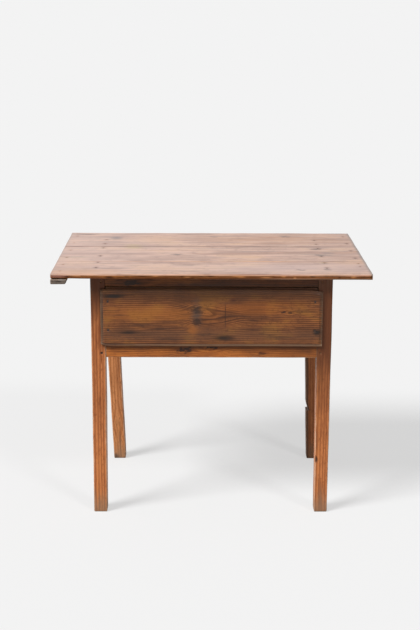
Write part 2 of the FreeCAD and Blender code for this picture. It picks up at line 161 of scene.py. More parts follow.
def seen_directly(tree):
    """One where the camera, a reflection or something clear looks, nought for scattered light."""
    rays = add(tree, "LightPath").node.outputs
    seen = add(tree, "Math", rays["Is Camera Ray"], rays["Is Glossy Ray"], operation="MAXIMUM")
    return add(tree, "Math", seen, rays["Is Transmission Ray"], operation="MAXIMUM")


world = bpy.data.worlds.new("even studio")
world.use_nodes = True
bpy.context.scene.world = world
tree = world.node_tree
tree.nodes.clear()
brightness = add(tree, "MapRange", seen_directly(tree), 0.0, 1.0, AMBIENT, PAPER_LIGHT)
add(tree, "OutputWorld", add(tree, "Background", [1, 1, 1, 1], brightness))

floor_light = AMBIENT
for name, (place, strength, disc) in SUNS.items():
    sun_data = bpy.data.lights.new(name, "SUN")
    sun_data.energy = strength * math.pi
    sun_data.angle = math.radians(disc)
    sun = bpy.data.objects.new(name, sun_data)
    sun.rotation_euler = Vector(place).to_track_quat("Z", "Y").to_euler()
    bpy.context.scene.collection.objects.link(sun)
    floor_light += strength * Vector(place).normalized().z
print("light on the floor: %.2f" % floor_light)

# %% [markdown]
# ## Paper floor
# The table stands on a pale seamless floor. A studio would use a paper sweep; here one very large disc and
# the world of the same colour meet without a visible line. The paper glows a little towards the camera, which
# keeps its shadows as light as on an overlit sweep, and it throws little light back at the table.

# %% Paper floor
FLOOR_RADIUS, FLOOR_SIDES = 900.0, 96
FLOOR_BOUNCE = 0.28
FLOOR_GLOW = 0.63

bpy.ops.mesh.primitive_circle_add(vertices=FLOOR_SIDES, radius=FLOOR_RADIUS, fill_type="NGON")
floor = bpy.context.object
floor.name = "paper_floor"
floor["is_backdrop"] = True
# Uncoated paper is matt all over, so it shows shade and no reflection.
paper, tree = new_material("white paper sweep")
seen = seen_directly(tree)
albedo = add(tree, "MapRange", seen, 0.0, 1.0, FLOOR_BOUNCE, PAPER_LIGHT / floor_light)
matt = add(tree, "BsdfDiffuse", albedo)
glow = add(tree, "Emission", linear(PAPER))
share = add(tree, "Math", seen, FLOOR_GLOW, operation="MULTIPLY")
add(tree, "OutputMaterial", add(tree, "MixShader", share, matt, glow))
floor.data.materials.append(paper)
print("%s: radius %.0f m" % (floor.name, FLOOR_RADIUS))

# %% [markdown]
# ## Aged pine
# Pine is a softwood with wide yearly rings: pale early wood and narrow, hard, darker late wood. Planed, waxed
# and worn for two centuries it has turned orange-brown, the soft early wood has sunk a little, and knots and
# dirt have gone nearly black. A flat grain texture would break at the corners. Here the pattern fills the
# wood, so faces, edges and end grain all follow from it. The first step turns a place on the table to a place
# in the wood, with X along the grain, and makes noises that are stretched along it.

# %% Wood coordinates and noises
GRAIN_ORDER = {"X": (0, 1, 2), "Y": (1, 0, 2), "Z": (2, 0, 1)}
NOISES = {
    # name: size of its features in millimetres along the grain, across it and through the board
    "wander": (520, 110, 110),
    "uneven": (900, 26, 26),
    "fibre": (50, 3.0, 3.0),  # real fibres are far thinner; drawn coarser so that they show
    "streak": (170, 11, 11),
    "patch": (150, 60, 60),
    "rub": (45, 18, 18),
    "fray": (26, 8, 8),
    "fleck": (16, 9, 9),  # real flecks are far smaller; drawn coarser so that they show
}
NOISE_DETAIL, NOISE_ROUGHNESS = 3.0, 0.55
NOISE_MIDDLE = [0.5, 0.5, 0.5]
SEED_SPREAD = (1, 0.37, 0.73)


def wood_space(tree, order, seed, look):
    """Place in the wood, with X along the grain, and the noises that run with the grain."""
    place = add(tree, "Attribute", attribute_name="wood").node.outputs["Vector"]
    axes = add(tree, "SeparateXYZ", place).node.outputs
    wood = add(tree, "CombineXYZ", *[axes[axis] for axis in order])
    shifted = add(tree, "VectorMath", wood, [seed * part for part in SEED_SPREAD], operation="ADD")
    noise = {}
    for label, sizes in {**NOISES, **look["noises"]}.items():
        scales = [1 / (size * stretch * MM) for size, stretch in zip(sizes, look["stretch"])]
        scaled = add(tree, "VectorMath", shifted, scales, operation="MULTIPLY")
        noise[label] = add(tree, "TexNoise", scaled, 1.0, NOISE_DETAIL, NOISE_ROUGHNESS)
    return wood, noise


print("noises in the wood:", ", ".join(NOISES))

# %% [markdown]
# ## Stains and knots
# A stain soaks further along the fibres than across them, so its edge is frayed. A knot is the foot of a
# branch, dark and hard, and the rings had to grow round it. Both could be painted on an image. As distances
# from a place in the solid wood they need no unwrapping, and a knot can draw the grain in towards it, which
# is how the lines come to flow round it.

# %% Stains and knots
# The same frayed ellipses also paint shade, a shadow and a highlight on some boards.
STAIN_FRAY, STAIN_START, STAIN_FULL = 1.3, 1.75, 0.75
KNOT_BROWN = "#24140d"
KNOT_LENGTH = 2.0  # along the grain, to 1 across it
KNOT_FRAY, KNOT_START, KNOT_FULL = 4.0, 1.35, 0.6
KNOT_PULL, PULL_FULL, PULL_END = 0.75, 0.8, 4.2


def stain_and_shade_layers(tree, wood, noise, order, stains_and_shade):
    """Layers of colour for stains and painted shade, each (centre, half sizes, colour, share), frayed along
    the grain.
    """
    layers = []
    for centre, halves, colour, share in stains_and_shade:
        offset = add(tree, "VectorMath", wood, [centre[axis] * MM for axis in order], operation="SUBTRACT")
        sizes = [1 / (halves[axis] * MM) for axis in order]
        offset = add(tree, "VectorMath", offset, sizes, operation="MULTIPLY")
        reach = add(tree, "VectorMath", offset, operation="LENGTH")
        ragged = add(tree, "Math", noise["streak"], STAIN_FRAY, reach, operation="MULTIPLY_ADD")
        layers.append((colour, ragged, STAIN_START, STAIN_FULL, share))
    return layers


def knot_layers(tree, wood, noise, order, knots, away):
    """Layers of colour for knots, each (centre, size, darkness), twice as long as wide and frayed. Gives them
    and the place from the heart, drawn in towards each knot."""
    fray = add(tree, "VectorMath", noise["fray"].node.outputs["Color"], NOISE_MIDDLE, operation="SUBTRACT")
    layers = []
    for centre, size, darkness in knots:
        size *= MM
        offset = add(tree, "VectorMath", wood, [centre[axis] * MM for axis in order], operation="SUBTRACT")
        squeezed = add(tree, "VectorMath", offset, [1 / KNOT_LENGTH, 1, 1], operation="MULTIPLY")
        distance = add(tree, "VectorMath", squeezed, operation="LENGTH")
        pull = add(tree, "MapRange", distance, PULL_FULL * size, PULL_END * size, KNOT_PULL, 0.0,
                   interpolation_type="SMOOTHSTEP")
        drawn = add(tree, "VectorMath", offset, operation="SCALE", Scale=pull)
        away = add(tree, "VectorMath", away, drawn, operation="SUBTRACT")
        frayed = add(tree, "VectorMath", fray, [KNOT_FRAY * size] * 3, squeezed, operation="MULTIPLY_ADD")
        ragged = add(tree, "VectorMath", frayed, operation="LENGTH")
        layers.append((KNOT_BROWN, ragged, KNOT_START * size, KNOT_FULL * size, darkness))
    return layers, away


print("a knot bends the grain up to %.1f times its size away" % PULL_END)

# %% [markdown]
# ## Yearly rings
# Through a summer early wood darkens slowly to late wood, which ends at a sharp line. A wave texture gives
# even bands. Here the rings are cylinders round the heart of the tree, and the part of a year at each place
# gives both the slow rise and the sharp end. Slow noise makes some rings wider than others.

# %% Yearly rings
RING_UNEVENNESS = 1.6
LATE_RISE, LATE_FALL = (0.25, 0.86), (0.90, 1.00)


def late_rings(tree, away, noise, ring):
    """One in the late wood and nought in the early wood of rings this many millimetres wide."""
    across = add(tree, "VectorMath", away, [0, 1, 1], operation="MULTIPLY")
    radius = add(tree, "VectorMath", across, operation="LENGTH")
    years = add(tree, "Math", radius, ring * MM, operation="DIVIDE")
    years = add(tree, "Math", noise["uneven"], RING_UNEVENNESS, years, operation="MULTIPLY_ADD")
    year = add(tree, "Math", years, operation="FRACT")
    rise = add(tree, "MapRange", year, *LATE_RISE, 0.0, 1.0, interpolation_type="SMOOTHSTEP")
    fall = add(tree, "MapRange", year, *LATE_FALL, 1.0, 0.0, interpolation_type="SMOOTHSTEP")
    return add(tree, "Math", rise, fall, operation="MULTIPLY")


print("late wood rises through %.0f %% of a year" % (100 * (LATE_RISE[1] - LATE_RISE[0])))

# %% [markdown]
# ## Finish of old pine
# Over the rings lie dirt, yellow patches, bare rubbed arrises, grey end grain and wax. An image of one board
# would fit that board only. Here each is a layer of one colour that a pattern lets through, so one function
# and a few changed values make every finish of the table.

# %% Values of old pine
# Aged, waxed pine: orange-brown and matt, darker in the late wood, pale where arrises are rubbed.
PINE = {
    "ring": 6.0,  # width of a ring in millimetres, wider than most so that the rings show
    "wander": 22.0,  # how far the rings wander in millimetres
    "stretch": (1, 1, 1),  # of every noise, along and across the grain
    "early": "#cd814b",
    "late": "#904e25",
    "late_share": 0.7,
    "dirt": "#5b3520",  # and its share in streaks, in patches, along the rings and in flecks
    "streaks": 0.6,
    "patches": 0.45,
    "lines": 0.0,
    "flecks": 0.3,
    "tint": "#c57c3c",  # yellower patches
    "tinting": 0.25,
    "worn": "#c99c74",  # bare wood on rubbed arrises
    "wear": 0.7,
    "grey": "#7d6f61",  # dry end grain
    "greying": 0.6,
    "gloss": (0.62, 0.45),  # roughness between streaks and in them
    "shine": 0.3,
    "coat": 0.0,  # wax
    "noises": {},  # other sizes for some of the noises
}
FIBRE_SHARE, FIBRE_RELIEF = 0.5, 0.8
RUB_PATCHINESS = 0.9
RELIEF_STRENGTH, RELIEF_DEPTH = 0.6, 0.35 * MM
GLOSS_SPAN = (0.3, 0.7)
WOOD_IOR, WAX_ROUGHNESS = 1.5, 0.22
print("values in a finish:", len(PINE))


# %% Aged pine material
def finish_layers(tree, look, noise, late_wood):
    """Layers of wood, dirt and wear, each (colour, pattern, where it starts, where it is full, share)."""
    edge = add(tree, "Attribute", attribute_name="edge").node.outputs["Fac"]
    end = add(tree, "Attribute", attribute_name="end").node.outputs["Fac"]
    rubbed = add(tree, "Math", noise["rub"], RUB_PATCHINESS, edge, operation="MULTIPLY_ADD")
    greyed = add(tree, "Math", noise["streak"], RUB_PATCHINESS, end, operation="MULTIPLY_ADD")
    return [
        (look["late"], late_wood, 0.0, 1.0, look["late_share"]),
        (look["late"], noise["fibre"], 0.48, 0.75, FIBRE_SHARE),
        (look["tint"], noise["patch"], 0.50, 0.32, look["tinting"]),
        (look["dirt"], noise["fleck"], 0.52, 0.72, look["flecks"]),
        (look["dirt"], noise["streak"], 0.50, 0.72, look["streaks"]),
        (look["dirt"], noise["patch"], 0.42, 0.68, look["patches"]),
        (look["dirt"], late_wood, 0.3, 1.0, look["lines"]),
        (look["worn"], rubbed, 0.75, 1.25, look["wear"]),
        (look["grey"], greyed, 0.75, 1.30, look["greying"]),
    ]


def aged_pine(name, along, heart, knots=(), stains_and_shade=(), seed=0.0, **finish):
    """Solid pine with its grain along an axis and the heart of the tree through a point. Knots, and stains
    with painted shade, are as their layers want them. Lengths are millimetres in the table's frame."""
    look = {**PINE, **finish}
    order = GRAIN_ORDER[along]
    material, tree = new_material(name)
    wood, noise = wood_space(tree, order, seed, look)

    # Place from the heart, with slow wander along the board
    drift = add(tree, "VectorMath", noise["wander"].node.outputs["Color"], NOISE_MIDDLE, operation="SUBTRACT")
    wander = look["wander"] * MM
    drift = add(tree, "VectorMath", drift, [0, wander, wander], operation="MULTIPLY")
    away = add(tree, "VectorMath", wood, [heart[axis] * MM for axis in order], operation="SUBTRACT")
    away = add(tree, "VectorMath", away, drift, operation="ADD")
    knotted, away = knot_layers(tree, wood, noise, order, knots, away)
    late_wood = late_rings(tree, away, noise, look["ring"])

    # Knots lie over stains and painted shade, and these over the finish
    layers = finish_layers(tree, look, noise, late_wood)
    layers += stain_and_shade_layers(tree, wood, noise, order, stains_and_shade) + knotted
    colour = linear(look["early"])
    for tint, pattern, start, full, share in layers:
        amount = add(tree, "MapRange", pattern, start, full, 0.0, share, interpolation_type="SMOOTHSTEP")
        colour = add(tree, "Mix", amount, colour, linear(tint), data_type="RGBA")

    # Late wood stands proud of the sunken early wood
    relief = add(tree, "Math", noise["fibre"], FIBRE_RELIEF, late_wood, operation="MULTIPLY_ADD")
    bump = add(tree, "Bump", Strength=RELIEF_STRENGTH, Distance=RELIEF_DEPTH, Height=relief)
    roughness = add(tree, "MapRange", noise["streak"], *GLOSS_SPAN, *look["gloss"])
    surface = add(tree, "BsdfPrincipled", Base_Color=colour, Roughness=roughness, Normal=bump, IOR=WOOD_IOR,
                  Specular_IOR_Level=look["shine"], Coat_Weight=look["coat"], Coat_Roughness=WAX_ROUGHNESS)
    add(tree, "OutputMaterial", surface)
    return material


print("relief of the late wood: %.2f mm" % (RELIEF_DEPTH / MM))

# %% [markdown]
# ## Skin of a board
# Every wooden piece is a board that was sawn and planed by hand. A cube with a bevel modifier would have
# perfect edges. Instead the skin of a box is gridded, close together at its arrises and at marks, so that
# each point can be moved. Smooth random waves give the unevenness.

# %% Waves and grid
WAVE_COUNT, WAVE_SPREAD = 7, (0.6, 1.6)
ARRIS_ROWS, NEAR_ROWS = (0.0, 0.4, 0.75), (2, 4)  # in arris widths from a side
FINEST_CELL = 0.15 * MM


def waves(points, length, seed):
    """Smooth random field from about -1 to 1, made of sine waves about this many metres long."""
    random = np.random.default_rng(seed)
    total = np.zeros(len(points))
    for _ in range(WAVE_COUNT):
        direction = random.normal(size=3)
        turn = 2 * math.pi / (length * random.uniform(*WAVE_SPREAD))
        direction *= turn / np.linalg.norm(direction)
        total += np.sin(points @ direction + random.uniform(0, 2 * math.pi))
    return total / (WAVE_COUNT / 2)


def grid_lines(low, high, arris, cell, extra):
    """Grid places along one side: close in the two arrises, even between, and at marks."""
    count = max(2, round((high - low - 2 * arris) / cell) + 1)
    lines = list(np.linspace(low + arris, high - arris, count))
    near = [place for step in NEAR_ROWS for place in (low + step * arris, high - step * arris)]
    lines += [place for place in [*extra, *near] if low + arris < place < high - arris]
    for share in ARRIS_ROWS:
        lines += [low + share * arris, high - share * arris]
    lines.sort()
    return [place for i, place in enumerate(lines) if i == 0 or place - lines[i - 1] > FINEST_CELL]


def box_skin(lines):
    """Points and outward quads of a box gridded by the lines along its three sides."""
    counts = [len(line) for line in lines]
    strides = (counts[1] * counts[2], counts[2], 1)
    quads = []
    for axis in range(3):
        first, second = (axis + 1) % 3, (axis + 2) % 3
        i, j = np.meshgrid(np.arange(counts[first] - 1), np.arange(counts[second] - 1), indexing="ij")
        corner = (i * strides[first] + j * strides[second]).ravel()
        steps = (0, strides[first], strides[first] + strides[second], strides[second])
        ring = [corner + step for step in steps]
        quads.append(np.stack(ring, 1) + (counts[axis] - 1) * strides[axis])
        quads.append(np.stack(ring[::-1], 1))
    used, faces = np.unique(np.concatenate(quads), return_inverse=True)
    index = np.unravel_index(used, counts)
    points = np.stack([np.array(lines[axis])[index[axis]] for axis in range(3)], 1)
    return points, faces.reshape(-1, 4)


print("points on the skin of a cube of 2 x 2 x 2 cells:", len(box_skin([range(3)] * 3)[0]))

# %% [markdown]
# ## Wear of a board
# Years of knocks and rubbing round a board's arrises unevenly, and nails, pegs, cracks and gouges leave
# dents. Sculpting would have to be done by hand on each of 27 boards. Instead each point is moved on to a
# ball or roll round the board's core, nearer to it where an arris is chipped, and pressed in at marks.
# Attributes tell the material where each point was in the straight board, and how near an arris or an end.

# %% Wear
ARRIS_REACH = 3 * MM
CHIP_LENGTH, CHIP_BIAS, CHIP_LIMIT = 60 * MM, 0.25, 1.2
PLANE_WAVES = ((0.7, 220 * MM), (0.3, 70 * MM))
DENT_ROWS = (-1.1, -0.7, -0.25, 0.25, 0.7, 1.1)  # in half sizes from the middle of a mark
DENT_RIM, DENT_SLOPE = 1.05, 0.35
ON_FACE = 0.001 * MM


def worn(flat, low, high, arris, chip, wave, seed):
    """Points with rounded, unevenly chipped arrises and faces as uneven as a hand plane leaves them."""
    core = np.clip(flat, low + arris, high - arris)
    out = flat - core
    unit = out / np.linalg.norm(out, axis=1, keepdims=True)
    bend = np.clip((1 - np.abs(unit).max(1)) / (1 - math.sqrt(0.5)), 0, 1)
    chipped = arris * chip * bend * np.clip(waves(flat, CHIP_LENGTH, seed) + CHIP_BIAS, 0, CHIP_LIMIT)
    uneven = sum(share * waves(flat, length, seed + 1 + i) for i, (share, length) in enumerate(PLANE_WAVES))
    return core + unit * (arris - chipped + wave * uneven)[:, None]


def press_in(points, flat, low, high, marks):
    """Presses marks, each (side, centre, half sizes, depth) in millimetres, into the faces of a board."""
    for side, centre, half, depth in marks:
        axis = "XYZ".index(side[1])
        sign = 1 if side[0] == "+" else -1
        on_face = np.abs(flat[:, axis] - (high if sign > 0 else low)[axis]) < ON_FACE
        others = [a for a in range(3) if a != axis]
        away = np.sqrt(sum(((flat[:, a] / MM - centre[a]) / half[a]) ** 2 for a in others))
        points[:, axis] -= on_face * sign * depth * MM * np.clip((DENT_RIM - away) / DENT_SLOPE, 0, 1)


print("chips along an arris: about %.0f mm long" % (CHIP_LENGTH / MM))

# %% Worn board
NORMAL_WEIGHT = 80


def worn_board(name, low, high, along, arris=2.0, cell=14.0, marks=(), lines=(), wave=0.35, chip=0.5,
               end_reach=9.0, shape=None, seed=0):
    """Worn board between two corners, with marks, with more grid lines, each (axis, place), and with a shape
    that moves its points further. All sizes but the corners are in millimetres."""
    low, high = np.array(low), np.array(high)
    extra = [[], [], []]
    for axis, place in lines:
        extra[axis].append(place * MM)
    for side, centre, half, _ in marks:
        for axis in range(3):
            if axis != "XYZ".index(side[1]):
                extra[axis] += [(centre[axis] + step * half[axis]) * MM for step in DENT_ROWS]
    arris *= MM
    flat, quads = box_skin([grid_lines(low[a], high[a], arris, cell * MM, extra[a]) for a in range(3)])
    points = worn(flat, low, high, arris, chip, wave * MM, seed)
    press_in(points, flat, low, high, marks)
    if shape is not None:
        points = shape(points, flat)

    to_sides = np.minimum(flat - low, high - flat)
    edge = np.exp(-np.sort(to_sides, axis=1)[:, 1] / ARRIS_REACH)
    end = np.exp(-to_sides[:, "XYZ".index(along)] / (end_reach * MM))
    mesh = bpy.data.meshes.new(name)
    mesh.from_pydata(points.tolist(), [], quads.tolist())
    mesh.polygons.foreach_set("use_smooth", [True] * len(quads))
    mesh.attributes.new("wood", "FLOAT_VECTOR", "POINT").data.foreach_set("vector", flat.ravel())
    mesh.attributes.new("edge", "FLOAT", "POINT").data.foreach_set("value", edge)
    mesh.attributes.new("end", "FLOAT", "POINT").data.foreach_set("value", end)
    board = bpy.data.objects.new(name, mesh)
    bpy.context.scene.collection.objects.link(board)
    board.modifiers.new("even normals", "WEIGHTED_NORMAL").weight = NORMAL_WEIGHT
    return board


def rows_inside(low, high, axes, steps):
    """Grid lines at these steps inside both ends of each axis."""
    return [(axis, place) for axis in axes for step in steps
            for place in (low[axis] / MM + step, high[axis] / MM - step)]


def dress(piece, body, node, material):
    """The piece stands for a node, moves with its body and has this material."""
    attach(piece, body)
    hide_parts(node)
    piece.data.materials.append(material)
    print("%-22s %6d points" % (piece.name, len(piece.data.vertices)))


print("weight of large faces in the normals:", NORMAL_WEIGHT)

# %% [markdown]
# ## Nails and pegs
# The nails are hand-wrought iron with square heads, hammered just under the surface. The pegs are split pine
# pins, sunk in their holes. They could be modelled again, but their shapes are right, so they keep them and
# get new finishes. Their places are read here, because the boards need a dent over each.

# %% Places of the fasteners
NAIL_GROUPS = ["top_nails", "batten_nails", "runner_nails", "guide_nails", "kicker_nails",
               "drawer_front_nails", "drawer_back_nails", "drawer_bottom_nails"]
PEG_GROUPS = ["rail_pegs", "side_apron_pegs", "rear_apron_pegs"]


def solids(node):
    """Middle and half size, in millimetres, of each separate solid in a group node."""
    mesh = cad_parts[node].data
    group = list(range(len(mesh.vertices)))

    def root(i):
        while group[i] != i:
            i = group[i]
        return i

    first_at = {}
    for vertex in mesh.vertices:
        group[vertex.index] = first_at.setdefault(tuple(round(c, 6) for c in vertex.co), vertex.index)
    for edge in mesh.edges:
        group[root(edge.vertices[0])] = root(edge.vertices[1])
    members = {}
    for vertex in mesh.vertices:
        members.setdefault(root(vertex.index), []).append(np.array(vertex.co) / MM)
    boxes = [(np.min(found, axis=0), np.max(found, axis=0)) for found in members.values()]
    return [((low + high) / 2, (high - low) / 2) for low, high in boxes]


fasteners = {node: solids(node) for node in NAIL_GROUPS + PEG_GROUPS}
print("fasteners:", {node: len(found) for node, found in fasteners.items()})

# %% Dents over the fasteners
NAIL_DENT = (5.2, 1.7)  # half size and depth in millimetres
PEG_DENT = (3.7, 2.4)
DEEPEST_HEAD = 3  # millimetres under the face


def dents(node, side, dent, low, high):
    """Marks over the fasteners of a group that come out on one side of a board."""
    half, depth = dent
    axis = "XYZ".index(side[1])
    low, high = np.array(low) / MM, np.array(high) / MM
    found = []
    for centre, size in fasteners[node]:
        inside = all(low[a] < centre[a] < high[a] for a in range(3) if a != axis)
        tip = centre[axis] + (size[axis] if side[0] == "+" else -size[axis])
        if inside and abs(tip - (high if side[0] == "+" else low)[axis]) < DEEPEST_HEAD:
            found.append((side, centre, [half] * 3, depth))
    return found


def refinish(nodes, material):
    """These nodes keep their modelled shapes and get this material."""
    for node in nodes:
        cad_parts[node].data.materials.clear()
        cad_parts[node].data.materials.append(material)
    print("%s: %d nodes" % (material.name, len(nodes)))


print("dents: nails %.1f mm deep, pegs %.1f mm deep" % (NAIL_DENT[1], PEG_DENT[1]))

# %% [markdown]
# ## Wrought iron
# The nail heads are blackened by rust and wax, and those at the left end of the top are waxed over, so that
# they hardly show. Bare iron would be a metallic surface. Rust is an oxide that hides the metal, so a dark,
# rough surface that isn't metallic comes nearer. Iron and peg ends are both speckled and partly covered by
# another colour, so one function makes the two materials.


# %% Speckled surface
def speckled(name, speck, detail, span, dark, pale, roughness, strength, depth, cover, cover_colour):
    """Dull material with specks of this size, from dark to pale, and relief of this depth, in millimetres.
    The cover is a function of the tree and the place, and gives the share of its colour there."""
    material, tree = new_material(name)
    place = add(tree, "TexCoord").node.outputs["Object"]
    specks = add(tree, "TexNoise", place, 1 / (speck * MM), detail)
    amount = add(tree, "MapRange", specks, *span, 0.0, 1.0)
    colour = add(tree, "Mix", amount, linear(dark), linear(pale), data_type="RGBA")
    colour = add(tree, "Mix", cover(tree, place), colour, linear(cover_colour), data_type="RGBA")
    dullness = add(tree, "MapRange", specks, *GLOSS_SPAN, *roughness)
    bump = add(tree, "Bump", Strength=strength, Distance=depth * MM, Height=specks)
    surface = add(tree, "BsdfPrincipled", Base_Color=colour, Roughness=dullness, Normal=bump)
    add(tree, "OutputMaterial", surface)
    return material


print("roughness changes where specks are between %.1f and %.1f" % GLOSS_SPAN)

# %% Wrought iron
# Rusted iron is dull and nearly black, with brown grit that breaks up any reflection.
IRON = {
    "speck": 1.5,  # real grit is finer; drawn coarser so that it shows
    "detail": 4.0,
    "span": (0.45, 0.70),
    "dark": "#1c1918",
    "pale": "#3d2417",
    "roughness": (0.5, 0.85),
    "strength": 0.7,
    "depth": 0.4,
}
OLD_WAX = "#9c7a69"
WAXED_FROM, WAXED_TO, WAXED_SHARE = -420 * MM, -410 * MM, 0.75


def waxed_over(tree, place):
    """Share of old wax, on the nails at the left end only."""
    along_table = add(tree, "SeparateXYZ", place)
    return add(tree, "MapRange", along_table, WAXED_FROM, WAXED_TO, WAXED_SHARE, 0.0)


iron = speckled("wrought iron, rusted black", cover=waxed_over, cover_colour=OLD_WAX, **IRON)
refinish(NAIL_GROUPS, iron)

# %% [markdown]
# ## Peg ends
# Only the end grain of the pegs shows. It drinks wax and dirt, so it is darker than the leg round it, and one
# peg on the left has sunk so far that its hole looks empty; that shade is painted on. The aged pine of the
# boards needs their attributes, so the pegs get the speckled surface instead, with painted shade at that
# hole.

# %% Split pine
# End grain of split pine is dull, brown and speckled by its cut fibres.
PEG_END = {
    "speck": 1.2,  # real fibres are far thinner; drawn coarser so that they show
    "detail": 3.0,
    "span": (0.35, 0.65),
    "dark": "#5a3820",
    "pale": "#8a5a34",
    "roughness": (0.6, 0.9),
    "strength": 0.6,
    "depth": 0.3,
}
# painted shade of the empty hole over the sunk peg
PAINTED_HOLE_SHADE = "#1d110a"
SUNK_PEG, SUNK_SHARE = (-337, -302, 519), 0.9
SUNK_FULL, SUNK_END = 30 * MM, 40 * MM


def sunk_peg(tree, place):
    """Share of the painted shade of the hole, round the sunk peg only."""
    distance = add(tree, "VectorMath", place, [c * MM for c in SUNK_PEG], operation="DISTANCE")
    return add(tree, "MapRange", distance, SUNK_FULL, SUNK_END, SUNK_SHARE, 0.0)


peg_end = speckled("split pine peg, dark end grain", cover=sunk_peg, cover_colour=PAINTED_HOLE_SHADE, **PEG_END)
refinish(PEG_GROUPS, peg_end)

# %% [markdown]
# ## The top
# Three pine boards lie side by side along the table. Scrubbing and use have left them paler and smoother than
# the rest, so their grain is soft and low in contrast, and they shine a little when seen at a low angle. Dirt
# has settled in the two joints, the left end is bleached, the right end is a little dirtier, and cracks run
# in from the ends. All of it could be painted; short tables of places, sizes, colours and shares stay sharp
# at any distance and are easy to change.

# %% Finish of the top
# Scrubbed, thinly waxed pine is pale, pinkish and low in contrast, with a soft shine. Its rings and flecks
# are drawn coarser than real ones, so that they show.
TOP_FINISH = {
    "ring": 11.0,
    "wander": 26.0,
    "stretch": (1.1, 1.2, 1.2),
    "early": "#c6a18e",
    "late": "#956a57",
    "late_share": 0.6,
    "dirt": "#674739",
    "streaks": 0.65,
    "patches": 0.4,
    "flecks": 0.3,
    "tint": "#c9a076",
    "tinting": 0.38,
    "worn": "#b4805a",
    "wear": 0.45,
    "grey": "#77706a",
    "greying": 0.5,
    "gloss": (0.50, 0.34),
    "shine": 0.4,
    "coat": 0.12,
    "noises": {"fleck": (24, 26, 26)},
}
print("rings of the top: %.0f mm wide" % TOP_FINISH["ring"])

# %% Marks on the top
TOP_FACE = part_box("top_board_front")[1].z / MM
FRONT_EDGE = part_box("top_board_front")[0].y / MM
# the dark colour is dirt on the top and drawer, and painted shade at a peg hole on a leg
GREY_STAIN, YELLOW_STAIN, DARK_DIRT_AND_SHADE = "#4d4a4c", "#a38a55", "#33211a"
PINK_STAIN, TAN_STAIN, ORANGE_STAIN, DULL_STAIN = "#b39a94", "#a87a58", "#bd8a60", "#6f6a5c"
TOP_KNOTS = {
    # board: knots, each (x, y, size, darkness)
    "front": [(273, -279, 7, 0.6), (355, -275, 7, 0.6)],
    "middle": [(-107, -42, 10, 0.7), (349, 55, 9, 0.8), (358, -44, 11, 0.6)],
    "rear": [(7, 275, 9, 0.6), (256, 279, 8, 0.7)],
}
TOP_SPOTS = {
    # board: dirt along its joint, then single spots, each (x, y, half length, half width, colour, share)
    "front": [
        (0, -154, 900, 5, DARK_DIRT_AND_SHADE, 0.4),
        (240, -250, 420, 100, PINK_STAIN, 0.5),
        (350, -169, 22, 16, YELLOW_STAIN, 0.4),
        (-400, -310, 170, 60, ORANGE_STAIN, 0.5),
    ],
    "middle": [
        (0, 95, 900, 6, DARK_DIRT_AND_SHADE, 0.9),
        (-256, 80, 40, 30, YELLOW_STAIN, 0.5),
        (-241, -135, 50, 14, DARK_DIRT_AND_SHADE, 0.35),
        (379, -9, 30, 20, GREY_STAIN, 0.5),
        (-455, 92, 40, 9, DARK_DIRT_AND_SHADE, 0.8),
        (-430, -85, 70, 12, DULL_STAIN, 0.6),
        (-350, 92, 30, 8, DARK_DIRT_AND_SHADE, 0.7),
    ],
    "rear": [
        (0, 95, 900, 6, DARK_DIRT_AND_SHADE, 0.9),
        (-322, 248, 34, 38, GREY_STAIN, 0.75),
        (-430, 319, 60, 16, DARK_DIRT_AND_SHADE, 0.6),
        (440, 345, 60, 12, DARK_DIRT_AND_SHADE, 0.8),
        (98, 243, 45, 14, DARK_DIRT_AND_SHADE, 0.5),
        (-256, 115, 40, 25, YELLOW_STAIN, 0.5),
        (220, 230, 420, 110, TAN_STAIN, 0.4),
    ],
}
SPOT_DEPTH = 40
# broad stains, each (centre, half sizes, colour, share)
LEFT_BLEACH = ((-520, 0, TOP_FACE), (520, 900, 60), "#cbb0a8", 0.35)
RIGHT_DIRT = ((560, 0, TOP_FACE), (440, 900, 60), "#7a5f55", 0.22)
RIGHT_GRIME = ((485, 0, TOP_FACE), (15, 900, 10), "#625a55", 0.7)
FRONT_DIRT = ((0, FRONT_EDGE - 1.5, TOP_FACE - 7), (900, 8, 8), "#9d6b46", 0.9)
TOP_MARKS = {
    # board: nicks in the front edge, and cracks, each (x, y, half length, half width, depth)
    "front": [
        (235, -345, 8, 6, 2.6), (-205, -345, 9, 5, 2.0), (60, -346, 6, 4, 1.6), (-395, -345, 9, 5, 2.0),
        (-478, -240, 34, 1.2, 3.0), (480, -298, 26, 1.1, 3.0),
    ],
    "middle": [(-478, 78, 36, 1.3, 3.5), (-478, -78, 44, 1.3, 3.5), (478, 12, 30, 1.1, 3.0)],
    "rear": [(384, 231, 42, 1.4, 4.0), (-480, 205, 30, 1.2, 3.0)],
}
print("spots on the top:", {part: len(spots) for part, spots in TOP_SPOTS.items()})

# %% [markdown]
# ## Front edge of the top
# The front edge has lost its corners to hands and sleeves, which gives it a wide uneven round, and it has
# been worn thinner from below towards its left end. A bevel modifier makes an even round, so points that
# stick out past an arc are drawn in to it instead, and the arc's radius varies along the edge. Its grease and
# bruises are darker than the top, so it has a material of its own, with scuffs at random places and painted
# shade along its lower part.

# %% Round of the front edge
FRONT_ROUNDS = {1: 6.0 * MM, -1: 4.0 * MM}  # upper and lower edge
ROUND_UNEVENNESS, ROUND_LENGTH, ROUND_SEED = 0.35, 140 * MM, 70
CORNER_ROUNDS = {-1: 6.0 * MM, 1: 11.0 * MM}  # left and right end
THIN_LENGTH, THIN_DEPTH, THIN_REACH = 300 * MM, 3.5 * MM, 60 * MM


def onto_arc(points, axes, centre, radius, signs):
    """Draws points past a corner's arc in to it. The signs say which way the corner points on the axes."""
    out = points[:, axes] - centre
    reach = np.linalg.norm(out, axis=1)
    past = (out * signs > 0).all(1) & (reach > radius)
    points[:, axes] = np.where(past[:, None], centre + out * (radius / reach)[:, None], points[:, axes])


